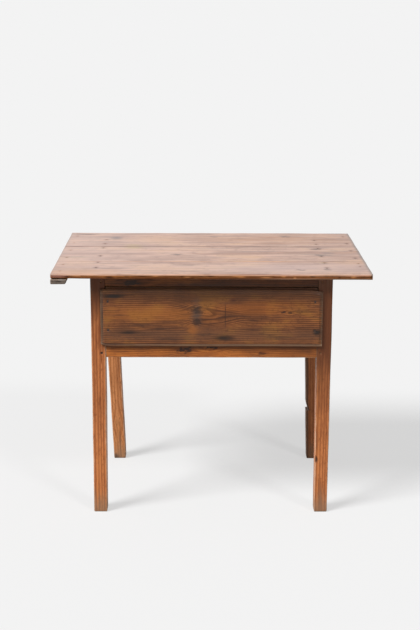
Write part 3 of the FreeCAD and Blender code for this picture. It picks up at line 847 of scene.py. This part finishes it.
def rounded_front(low, high):
    """Thins the front edge at its left end, rounds its two ends seen from above, and rounds its upper and
    lower edges more than the board's own arris, and not evenly along them."""
    def shape(points, flat):
        thinner = np.interp(flat[:, 0], [low[0], low[0] + THIN_LENGTH], [THIN_DEPTH, 0])
        thinner *= np.clip(1 - (flat[:, 1] - low[1]) / THIN_REACH, 0, 1)
        points[:, 2] += thinner * (high[2] - flat[:, 2]) / (high[2] - low[2])
        for sign, radius in CORNER_ROUNDS.items():
            side = low[0] if sign < 0 else high[0]
            onto_arc(points, [0, 1], np.array([side - sign * radius, low[1] + radius]), radius, (sign, -1))
        for sign, mean in FRONT_ROUNDS.items():
            bumpy = waves(flat * (1, 0, 0), ROUND_LENGTH, ROUND_SEED + sign)
            radius = mean * (1 + ROUND_UNEVENNESS * bumpy)
            height = high[2] - radius if sign > 0 else low[2] + radius
            onto_arc(points, [1, 2], np.stack([low[1] + radius, height], 1), radius, (-1, sign))
        return points
    return shape


print("front edge rounded by %.0f mm above, %.0f mm below" % tuple(r / MM for r in FRONT_ROUNDS.values()))

# %% Finish of the front edge
# Handled, bruised pine is dark and greasy, with pale scuffs and little shine.
EDGE_FINISH = {
    "ring": 5.0,
    "wander": 10.0,
    "stretch": (0.5, 1, 1),
    "early": "#935e38",
    "late": "#63371b",
    "dirt": "#45240f",
    "streaks": 0.7,
    "worn": "#cc8c58",
    "wear": 0.5,
    "greying": 0.0,
    "shine": 0.1,
}
SCUFF_COUNT, SCUFF_SPAN, SCUFF_SHIFT = 27, 465, 20
SCUFF_HEIGHTS = (764, TOP_FACE)
SCUFF_LONG, SCUFF_DEEP, SCUFF_HIGH = (6, 24), 6, (2, 5)
SCUFF_COLOURS, SCUFF_SHARES = ["#3a1d0c", "#bd7f4d"], (0.5, 1.0)
# the first is painted shade along the lower part of the front edge; then come the scuffs
edge_stains_and_shade = [((0, FRONT_EDGE, 760), (900, 60, 9), "#5a2c10", 0.8)]
random = np.random.default_rng(5)
for place in np.linspace(-SCUFF_SPAN, SCUFF_SPAN, SCUFF_COUNT):
    place += random.uniform(-SCUFF_SHIFT, SCUFF_SHIFT)
    centre = (place, FRONT_EDGE, random.uniform(*SCUFF_HEIGHTS))
    halves = (random.uniform(*SCUFF_LONG), SCUFF_DEEP, random.uniform(*SCUFF_HIGH))
    edge_stains_and_shade.append((centre, halves, random.choice(SCUFF_COLOURS), random.uniform(*SCUFF_SHARES)))
# scraped low on the right, and faded at the left end
edge_stains_and_shade.append(((330, FRONT_EDGE, 761), (330, 60, 3.5), "#bd9070", 0.6))
edge_stains_and_shade.append(((-460, FRONT_EDGE, 768), (34, 60, 9), "#a5766a", 0.6))
print("stains on the front edge:", len(edge_stains_and_shade))

# %% [markdown]
# ## Boards of the top
# Each board now gets its skin, its marks and its finish. Rust has stained the wood round the nails, less at
# the left end, where the top was scrubbed most. The edge's material could be mixed in by a pattern; faces
# that look forwards simply get it as a second material, which keeps the two finishes apart.

# %% Top boards
ROUND_ROWS = (1.2, 2.2, 3, 4.2, 5.2, 6.5, 8, 10)
TOP_HEART = Vector((0, 20, -130))
NAIL_STAIN, NAIL_STAIN_HALVES, NAIL_STAIN_SHARES = "#4a2f28", (13, 22, 40), (0.1, 0.6)
SCRUBBED_END, SCRUBBED_SHARE = -420, 0.4

top_boards = {}
for number, part in enumerate(("front", "middle", "rear")):
    node = "top_board_" + part
    low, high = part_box(node)
    nails = [mark for group in ("top_nails", "batten_nails")
             for mark in dents(group, "+Z", NAIL_DENT, low, high)]
    marks = [("+Z", (x, y, 0), (length, width, 1), depth) for x, y, length, width, depth in TOP_MARKS[part]]
    knots = [((x, y, TOP_FACE), size, darkness) for x, y, size, darkness in TOP_KNOTS[part]]
    stains_and_shade = [LEFT_BLEACH, RIGHT_DIRT]
    lines = []
    shape = None
    if part == "front":
        stains_and_shade.append(FRONT_DIRT)
        lines = rows_inside(low, high, (0, 2), ROUND_ROWS) + [(1, low.y / MM + step) for step in ROUND_ROWS]
        shape = rounded_front(low, high)
    for x, y, length, width, colour, share in TOP_SPOTS[part]:
        stains_and_shade.append(((x, y, TOP_FACE), (length, width, SPOT_DEPTH), colour, share))
    stains_and_shade.append(RIGHT_GRIME)
    for _, centre, *_ in nails:
        share = random.uniform(*NAIL_STAIN_SHARES) * (SCRUBBED_SHARE if centre[0] < SCRUBBED_END else 1)
        stains_and_shade.append(((*centre[:2], TOP_FACE), NAIL_STAIN_HALVES, NAIL_STAIN, share))
    board = worn_board("pine_" + node, low, high, "X", arris=1.8, marks=[*nails, *marks], lines=lines,
                       wave=0.5, shape=shape, seed=10 + number)
    material = aged_pine("scrubbed pine, %s top board" % part, "X", (low + high) / 2 / MM + TOP_HEART, knots,
                         stains_and_shade, seed=3.1 * number, **TOP_FINISH)
    dress(board, "frame", node, material)
    top_boards[part] = board

# %% Front edge
EDGE_HEART = Vector((0, 60, -90))
EDGE_FACING, EDGE_DEPTH = -0.5, 4.2 * MM

low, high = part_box("top_board_front")
heart = Vector((0, low.y, (low.z + high.z) / 2)) / MM + EDGE_HEART
board = top_boards["front"]
board.data.materials.append(aged_pine("handled pine, front edge", "X", heart, (), edge_stains_and_shade, seed=4.4,
                                      **EDGE_FINISH))
facing = [int(face.normal.y < EDGE_FACING and face.center.z < high.z - EDGE_DEPTH)
          for face in board.data.polygons]
board.data.polygons.foreach_set("material_index", facing)
print("faces on the front edge:", sum(facing))

# %% [markdown]
# ## Battens
# The battens are rough strips nailed under the ends of the top. Each is a little narrower below, because its
# inner face slopes, and the end grain at the front is streaked. A strip could be drawn as a profile and
# extruded; here the worn board's points are moved, which keeps its uneven skin.

# %% Battens
# Weathered pine was never waxed: grey-brown, flecked and dry.
BATTEN_FINISH = {
    "ring": 4.0,
    "early": "#85664d",
    "late": "#523b2c",
    "dirt": "#2e221a",
    "flecks": 0.9,
    "wear": 0.25,
    "grey": "#72685f",
    "greying": 0.7,
}
BATTEN_STREAKS = [
    # on the front end, each (x and z from its middle, half sizes, colour, share)
    (-2, 1, (26, 40, 3.5), "#2f2118", 0.85),
    (9, 6, (12, 40, 3), "#a8a096", 0.6),
]
BATTEN_HEART = Vector((0, 0, -60))
BATTEN_SLOPE = 5.0 * MM
SIDES = {"left": -1, "right": 1}


def sloping(low, high, sign):
    """Slopes a batten's inner face, so that it is narrower below; sign is the way from that face into the
    wood."""
    def shape(points, flat):
        inward = (high[0] - flat[:, 0] if sign > 0 else flat[:, 0] - low[0]) / (high[0] - low[0])
        points[:, 0] += sign * BATTEN_SLOPE * inward * (high[2] - flat[:, 2]) / (high[2] - low[2])
        return points
    return shape


for side, sign in SIDES.items():
    node = "batten_" + side
    low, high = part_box(node)
    middle = (low + high) / 2 / MM
    board = worn_board("pine_" + node, low, high, "Y", arris=3.0, wave=0.5, shape=sloping(low, high, sign),
                       seed=20 + sign)
    streaks = [((middle.x + x, low.y / MM, middle.z + z), halves, colour, share)
               for x, z, halves, colour, share in BATTEN_STREAKS]
    material = aged_pine("weathered pine, %s batten" % side, "Y", middle + BATTEN_HEART, (), streaks,
                         seed=5.0 + sign, **BATTEN_FINISH)
    dress(board, "frame", node, material)

# %% [markdown]
# ## Legs
# The legs are square posts, straight where the rails and aprons enter them and tapered below on their inner
# faces. The old frame has racked, so both back legs lean to the right, and the right one has a scoop cut
# across its inner face. Modifiers could bend and taper a cube; one function that moves the points does all
# of it, and the grain goes along with them.

# %% Finish of the legs
# Aged pine in the light: orange, striped by its rings and bare on the arrises; the shade under the top is
# painted on by the stains below. Rings and flecks are drawn coarser than real ones, so that they show.
LEG_FINISH = {
    "ring": 9.0,
    "wander": 12.0,
    "stretch": (0.8, 1, 1),
    "early": "#cf804a",
    "late": "#803e1a",
    "late_share": 0.6,
    "dirt": "#6b3519",
    "streaks": 0.65,
    "patches": 0.3,
    "flecks": 0.45,
    "worn": "#d8b294",
    "wear": 0.85,
    "grey": "#8d735b",
    "greying": 0.6,
    "noises": {"fleck": (14, 5, 5)},
}
LEG_TINTS = {"leg_rear_left": {"early": "#e0965f", "late": "#a8602f"}}
LEG_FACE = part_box("leg_front_left")[0].y / MM
REAR_LEG_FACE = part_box("leg_rear_left")[0].y / MM
LEG_KNOTS = {"leg_rear_left": [((-345, REAR_LEG_FACE, 130), 10, 0.25)]}
# colours of painted shade, of a damp foot, and of painted shade on an inner arris
PAINTED_SHADE_BROWN, DAMP_STAIN, SHADE_STAIN = "#5a3018", "#4a4238", "#33271b"
# node: real stains and painted shade, each (centre, half sizes, colour, share)
LEG_STAINS_AND_SHADE = {
    "leg_front_left": [
        # painted shade of the empty hole round the sunk peg
        ((-337, LEG_FACE, 519), (5, 20, 6), DARK_DIRT_AND_SHADE, 0.9),
        # painted shade of the overhanging top on the upper leg
        ((-345, LEG_FACE, 735), (120, 60, 190), PAINTED_SHADE_BROWN, 0.95),
        # painted shade on the leg beside the drawer's lip
        ((-326, LEG_FACE, 640), (22, 60, 160), PAINTED_SHADE_BROWN, 0.8),
    ],
    "leg_front_right": [
        # painted shade over most of the leg, where the main light falls off to the right and the lip shades
        # it
        ((345, -290, 640), (120, 110, 440), PAINTED_SHADE_BROWN, 0.95),
        ((329, LEG_FACE, 174), (6, 8, 14), DARK_DIRT_AND_SHADE, 0.9),
    ],
    "leg_rear_left": [((-360, REAR_LEG_FACE, 6), (16, 20, 14), DAMP_STAIN, 0.7)],
    "leg_rear_right": [
        # painted shade: the whole leg darker in the shadow of the top
        ((345, 200, 300), (120, 120, 700), PAINTED_SHADE_BROWN, 0.4),
        ((327, REAR_LEG_FACE, 300), (8, 60, 700), SHADE_STAIN, 0.75),
    ],
}
LEG_MARKS = {
    # a crack under a peg, and a gouge on an arris
    "leg_front_left": [("-Y", (-336, 0, 500), (1.0, 1, 15), 3.0)],
    "leg_front_right": [("-Y", (328, 0, 174), (4.5, 1, 12), 3.0)],
}
print("stains on the legs:", {node: len(stains_and_shade) for node, stains_and_shade in LEG_STAINS_AND_SHADE.items()})

# %% Shape of a leg
leg_low, leg_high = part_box("leg_front_left")
LEG_WIDTH = leg_high.x - leg_low.x
APRON_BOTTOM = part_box("side_apron_left")[0].z
FOOT_WIDTH, FOOT_ROUND, FOOT_BULGE = 41.0 * MM, 9.0 * MM, 0.10
LEAN_START = 677.0 * MM
NOTCH_LEDGE, NOTCH_LENGTH, NOTCH_DEPTH = 178 * MM, 34 * MM, 9 * MM


def leg_shape(low, high, sign, end, lean, notched):
    """Taper of the two inner faces, rounding and lean of the foot, and the scoop on the notched leg."""
    def shape(points, flat):
        drop = np.clip(1 - flat[:, 2] / APRON_BOTTOM, 0, 1)
        taper = drop * (LEG_WIDTH - FOOT_WIDTH)
        inward_x = (flat[:, 0] - low[0] if sign < 0 else high[0] - flat[:, 0]) / LEG_WIDTH
        inward_y = (flat[:, 1] - low[1] if end < 0 else high[1] - flat[:, 1]) / LEG_WIDTH
        foot = FOOT_BULGE * np.clip(1 - flat[:, 2] / FOOT_ROUND, 0, 1) ** 2 * FOOT_ROUND
        shift = lean * np.clip(1 - flat[:, 2] / LEAN_START, 0, 1)
        points[:, 0] += sign * (taper * inward_x + foot * (2 * inward_x - 1)) + shift
        points[:, 1] += end * (taper * inward_y + foot * (2 * inward_y - 1))
        if notched:
            up = flat[:, 2] - NOTCH_LEDGE
            radius = (NOTCH_LENGTH ** 2 + NOTCH_DEPTH ** 2) / (2 * NOTCH_DEPTH)
            rest = np.clip(NOTCH_LENGTH - up, 0, NOTCH_LENGTH)
            scoop = (radius - np.sqrt(radius ** 2 - rest ** 2)) * (up > 0)
            points[:, 0] += sign * scoop * np.clip(2 * inward_x - 1, 0, 1)
        points[:, 2] = np.maximum(points[:, 2], low[2])
        return points
    return shape


print("legs taper from %.0f to %.0f mm" % (LEG_WIDTH / MM, FOOT_WIDTH / MM))

# %% Legs
FOOT_ROWS = (4, 6.5, 9)
NOTCH_ROWS = (-0.2, 0.2, 4, 9, 15, 21, 28, 34)
LEAN_SHARE = 0.93
LEG_HEART = (120, 25)

for side, sign in SIDES.items():
    for row, end in (("front", -1), ("rear", 1)):
        node = "leg_%s_%s" % (row, side)
        low, high = (corner.copy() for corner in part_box(node))
        foot_reach = FOOT_WIDTH if side == "left" else LEG_WIDTH
        lean = LEAN_SHARE * (high.x - low.x - foot_reach) if row == "rear" else 0.0
        high.x = low.x + LEG_WIDTH
        middle = (low + high) / 2 / MM
        notched = node == "leg_rear_right"
        rows = [*FOOT_ROWS, *(NOTCH_LEDGE / MM + step for step in NOTCH_ROWS if notched)]
        pegged = {"side_apron_pegs": "-X" if sign < 0 else "+X", "rail_pegs": "-Y", "rear_apron_pegs": "+Y"}
        marks = [mark for group, face in pegged.items() for mark in dents(group, face, PEG_DENT, low, high)]
        board = worn_board("pine_" + node, low, high, "Z", arris=2.0, cell=11.0,
                           marks=[*marks, *LEG_MARKS.get(node, ())], lines=[(2, place) for place in rows],
                           wave=0.45, chip=0.8, end_reach=80.0,
                           shape=leg_shape(low, high, sign, end, lean, notched), seed=30 + 3 * sign + end)
        heart = (middle.x + LEG_HEART[0] * sign, middle.y + LEG_HEART[1], 0)
        material = aged_pine("aged pine, %s %s leg" % (row, side), "Z", heart, LEG_KNOTS.get(node, ()),
                             LEG_STAINS_AND_SHADE.get(node, ()), seed=7 + 2 * sign + end,
                             **{**LEG_FINISH, **LEG_TINTS.get(node, {})})
        dress(board, "frame", node, material)

# %% [markdown]
# ## Rails and aprons
# The rails cross the front above and below the drawer, and the aprons close the two sides and the back. Their
# tenons are hidden in the legs. They could be drawn too, but nobody would see them, so these boards stop
# just inside the legs' faces. The upper rail, under the overhang, is painted almost black as shade.

# %% Finish of rails and aprons
# Aged pine as on the legs, with finer rings; dull and painted dark as shade under the overhang, bright
# below the drawer.
FRAME_BOARDS = {
    # node: (axis of the grain, outer side, heart from the board's middle, changes of finish)
    # its near-black colours are painted shade under the overhang
    "upper_rail": ("X", "-Y", (0, 40, -120),
                   {"early": "#6e4023", "late": "#44250f", "dirt": "#2a1509", "wear": 0.12}),
    "lower_rail": ("X", "-Y", (0, 60, 90),
                   {"ring": 5.0, "stretch": (0.6, 1, 1), "early": "#c07233", "late": "#85441a"}),
    "rear_apron": ("X", "+Y", (0, -80, -150), {"ring": 5.0}),
    "side_apron_left": ("Y", "-X", (70, 0, -160), {"ring": 5.0}),
    "side_apron_right": ("Y", "+X", (-70, 0, 150), {"ring": 5.0}),
}
RAIL_KNOTS = {
    # node: knots on its outer side, each (place along it, height, size, darkness)
    "upper_rail": [(-239, 737, 11, 0.9)],
    "lower_rail": [(-78, 528, 9, 0.95), (-1, 539, 9, 0.95), (157, 519, 4.5, 0.6)],
    "rear_apron": [(140, 610, 12, 0.9), (-210, 690, 9, 0.8)],
    "side_apron_left": [(60, 640, 11, 0.9)],
    "side_apron_right": [(-90, 600, 12, 0.9), (120, 700, 8, 0.8)],
}
RAIL_PAINTED_SHADE = {
    # node: painted shade on its outer side, each (place along it, height, half sizes, colour, share)
    # painted shadow of the drawer lip along the top, and painted shade where the light falls off to the right
    "lower_rail": [(0, 548, (900, 60, 24), "#4a2812", 0.8), (260, 528, (190, 60, 50), PAINTED_SHADE_BROWN, 0.45)],
}
print("knots on rails and aprons:", sum(len(knots) for knots in RAIL_KNOTS.values()))

# %% Rails and aprons
SPANS = {
    "X": (leg_high.x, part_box("leg_front_right")[0].x),
    "Y": (leg_high.y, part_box("leg_rear_left")[0].y),
}
TUCK, REAR_TUCK = 0.3 * MM, 5.0 * MM


def on_side(low, high, side, along, height):
    """Place in millimetres on an upright side of a board."""
    face = (high if side[0] == "+" else low)["XYZ".index(side[1])] / MM
    return (face, along, height) if side[1] == "X" else (along, face, height)


for number, (node, (along, side, heart, finish)) in enumerate(FRAME_BOARDS.items()):
    low, high = (corner.copy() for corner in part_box(node))
    axis = "XYZ".index(along)
    tuck = REAR_TUCK if node == "rear_apron" else TUCK
    low[axis], high[axis] = SPANS[along][0] - tuck, SPANS[along][1] + tuck
    board = worn_board("pine_" + node, low, high, along, arris=1.6, wave=0.4, seed=40 + number)
    knots = [(on_side(low, high, side, *place), size, darkness)
             for *place, size, darkness in RAIL_KNOTS[node]]
    stains_and_shade = [(on_side(low, high, side, *place), halves, colour, share)
              for *place, halves, colour, share in RAIL_PAINTED_SHADE.get(node, ())]
    material = aged_pine("aged pine, " + node.replace("_", " "), along, (low + high) / 2 / MM + Vector(heart),
                         knots, stains_and_shade, seed=11.3 + 1.7 * number, greying=0.0, **finish)
    dress(board, "frame", node, material)

# %% [markdown]
# ## Drawer front
# The front is one thick board with a raised field, a bevel round it and a lip that covers the legs' edges. It
# is pulled by the lip, so two of its corners are worn down. An inset and a bevel would model the field; here
# the face's points are sunk by their distance from the edge, which keeps the skin uneven. The lip hangs a
# little lower than in the construction, and the step behind it reaches up under the rail, so that the slot
# above the lip shows dark wood.

# %% Shape of the drawer front
LIP_THICKNESS, LIP_DROP = 11.5 * MM, 2.5 * MM
BEVEL_WIDTH, BEVEL_DEPTH = 9.5 * MM, 4.5 * MM
FIELD_STEP, FIELD_STEP_WIDTH = 1.0 * MM, 0.6 * MM
WORN_CORNERS = {
    # side and end: (worn length, height of the board that gives way, how far the corner is worn)
    (1, 1): (55 * MM, 60 * MM, 8 * MM),  # upper right
    (-1, -1): (30 * MM, 40 * MM, 6 * MM),  # lower left
}
front_low, front_high = (corner.copy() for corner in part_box("drawer_front"))
front_low.z -= LIP_DROP
lip_high = front_high.copy()
lip_high.y = front_low.y + LIP_THICKNESS


def raised_field(points, flat):
    """Sinks a bevel all round the field, on the front only, and wears two corners."""
    to_edge = np.minimum.reduce([flat[:, 0] - front_low.x, front_high.x - flat[:, 0],
                                 flat[:, 2] - front_low.z, front_high.z - flat[:, 2]])
    sunk = np.interp(to_edge, [0, BEVEL_WIDTH, BEVEL_WIDTH + FIELD_STEP_WIDTH],
                     [FIELD_STEP + BEVEL_DEPTH, FIELD_STEP, 0])
    points[:, 1] += sunk * (lip_high.y - flat[:, 1]) / LIP_THICKNESS
    for (side, end), (length, depth, drop) in WORN_CORNERS.items():
        along = front_high.x - flat[:, 0] if side > 0 else flat[:, 0] - front_low.x
        down = front_high.z - flat[:, 2] if end > 0 else flat[:, 2] - front_low.z
        points[:, 2] -= end * drop * np.clip(1 - along / length, 0, 1) ** 2 * np.clip(1 - down / depth, 0, 1)
    return points


print("drawer front: %.0f x %.0f mm" % tuple((front_high - front_low).xz / MM))

# %% Marks on the drawer front
SMUDGE, FRESH_WOOD = "#170e09", "#a4622a"
DRAWER_KNOTS = [
    # each (x, z, size, darkness); the last only bends the grain
    (-48, 658, 11, 0.6), (-41, 620, 8, 0.7), (217, 650, 3.2, 0.95), (241, 650, 3.5, 0.8), (2, 640, 14, 0.0),
]
DRAWER_STAINS_AND_SHADE = {
    # kind: (how deep they go, stains and painted light, each (x, z, half length, half height, colour, share))
    "washes_and_shade": (60, [
        (-150, 645, 230, 34, FRESH_WOOD, 0.5),
        (130, 665, 180, 30, "#985624", 0.5),
        # painted shade of the overhanging top along the upper part
        (0, 715, 900, 44, "#3c220e", 0.75),
        (0, 580, 900, 30, "#5a4030", 0.45),
    ]),
    "spots": (30, [
        (-299, 700, 46, 11, SMUDGE, 0.95),
        (-251, 587, 50, 8, SMUDGE, 0.9),
        (-215, 611, 70, 6, DARK_DIRT_AND_SHADE, 0.6),
        (-150, 600, 50, 5, DARK_DIRT_AND_SHADE, 0.5),
        (-57, 598, 22, 26, FRESH_WOOD, 0.55),
        (65, 689, 15, 9, "#3a1a12", 0.7),
        (130, 598, 90, 6, DARK_DIRT_AND_SHADE, 0.45),
        (210, 572, 70, 6, DARK_DIRT_AND_SHADE, 0.45),
        (-120, 566, 80, 6, DARK_DIRT_AND_SHADE, 0.45),
        (321, 590, 17, 13, SMUDGE, 0.95),
        (35, 571, 42, 13, SMUDGE, 0.9),
        (-45, 644, 26, 50, "#463b35", 0.8),
        (42, 642, 2, 60, DARK_DIRT_AND_SHADE, 0.8),
    ]),
    "lip": (60, [
        # pale line along the lower edge: partly a worn arris, partly a painted highlight
        (0, 548, 900, 3.2, "#b8967a", 0.75),
        (-333, 635, 6, 120, "#4c3828", 0.9),
        (-330, 635, 2, 120, DARK_DIRT_AND_SHADE, 0.9),
    ]),
}
SCRATCH = ("-Y", (42, 0, 642), (0.9, 1, 46), 0.8)
print("stains on the drawer front:", {kind: len(stains_and_shade) for kind, (_, stains_and_shade) in DRAWER_STAINS_AND_SHADE.items()})

# %% Drawer front
# Darkened pine: brown-black, partly with old polish and partly as painted shade of the overhanging top; its
# rings crisp over the dirt, dull where hands have rubbed it.
DRAWER_FINISH_AND_SHADE = {
    "ring": 5.5,
    "wander": 12.0,
    "stretch": (0.6, 0.9, 0.9),
    "early": "#955a31",
    "late": "#522b13",
    "late_share": 0.85,
    "dirt": "#422616",
    "streaks": 0.6,
    "patches": 0.5,
    "lines": 0.5,
    "flecks": 0.45,
    "tint": "#a5702c",
    "tinting": 0.45,
    "worn": "#8f6e55",
    "wear": 0.5,
    "grey": "#6b5a48",
    "greying": 0.4,
}
DRAWER_HEART = Vector((0, 40, -230))
BEVEL_ROWS = (3, 6, 9.5, 10.1)
STEP_CLEARANCE = 1.0 * MM

face = front_low.y / MM
knots = [((x, face, z), size, darkness) for x, z, size, darkness in DRAWER_KNOTS]
stains_and_shade = [((x, face, z), (length, depth, height), colour, share)
          for depth, found in DRAWER_STAINS_AND_SHADE.values() for x, z, length, height, colour, share in found]
board = worn_board("pine_drawer_front", front_low, lip_high, "X", arris=1.5, cell=11.0,
                   marks=[*dents("drawer_front_nails", "-Y", NAIL_DENT, front_low, lip_high), SCRATCH],
                   lines=rows_inside(front_low, front_high, (0, 2), BEVEL_ROWS), wave=0.4, shape=raised_field,
                   seed=50)
material = aged_pine("darkened pine, drawer front", "X", (front_low + lip_high) / 2 / MM + DRAWER_HEART,
                     knots, stains_and_shade, seed=2.2, **DRAWER_FINISH_AND_SHADE)
dress(board, "drawer", "drawer_front", material)

side_low, side_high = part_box("drawer_side_left")[0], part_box("drawer_side_right")[1]
step_low = (side_low.x + TUCK, lip_high.y - TUCK, side_low.z)
step_high = (side_high.x - TUCK, front_high.y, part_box("upper_rail")[0].z - STEP_CLEARANCE)
step = worn_board("pine_drawer_front_step", step_low, step_high, "X", arris=1.0, cell=18.0, wave=0.15,
                  seed=55)
dress(step, "drawer", "drawer_front", material)

# %% [markdown]
# ## Drawer box and its strips
# Behind the front, thin boards are nailed into a box, which runs on strips nailed to the side aprons. None of
# them was ever finished, so they are drier and paler. They could share one material, but each came from its
# own plank, so each has its own heart and seed.

# %% Drawer box and its strips
# Raw pine is dry, pale and without shine.
RAW_FINISH = {
    "early": "#b08a5e",
    "late": "#8a6239",
    "dirt": "#6d5238",
    "patches": 0.35,
    "worn": "#b89873",
    "greying": 0.3,
    "shine": 0.2,
    "gloss": (0.8, 0.65),
}
RAW_BOARDS = {
    # node: (body, axis of the grain, heart from the board's middle in millimetres)
    "drawer_side_left": ("drawer", "Y", (50, 0, -20)),
    "drawer_side_right": ("drawer", "Y", (-50, 0, 20)),
    "drawer_back": ("drawer", "X", (0, 60, 30)),
    "drawer_bottom_front": ("drawer", "X", (0, 20, -70)),
    "drawer_bottom_rear": ("drawer", "X", (0, -30, -60)),
    "drawer_runner_left": ("frame", "Y", (40, 0, -30)),
    "drawer_runner_right": ("frame", "Y", (-40, 0, -30)),
    "drawer_guide_left": ("frame", "Y", (40, 0, 20)),
    "drawer_guide_right": ("frame", "Y", (-40, 0, 20)),
    "drawer_kicker_left": ("frame", "Y", (40, 0, 30)),
    "drawer_kicker_right": ("frame", "Y", (-40, 0, 30)),
}
SIDE_NAILS = ("drawer_back_nails", "runner_nails", "guide_nails", "kicker_nails")
NAILED_SIDES = [(group, side) for group in SIDE_NAILS for side in ("-X", "+X")]
NAILED_SIDES.append(("drawer_bottom_nails", "-Z"))

for number, (node, (body, along, heart)) in enumerate(RAW_BOARDS.items()):
    low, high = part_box(node)
    marks = [mark for group, side in NAILED_SIDES for mark in dents(group, side, NAIL_DENT, low, high)]
    board = worn_board("pine_" + node, low, high, along, arris=1.0, cell=18.0, marks=marks, wave=0.15,
                       chip=0.3, seed=60 + number)
    material = aged_pine("raw pine, " + node.replace("_", " "), along, (low + high) / 2 / MM + Vector(heart),
                         seed=21.7 + 1.3 * number, **RAW_FINISH)
    dress(board, body, node, material)

# %% Sizes and finish
visual_low, visual_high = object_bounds()
print("finished table: %.1f x %.1f x %.1f mm" % tuple((visual_high - visual_low) / MM))
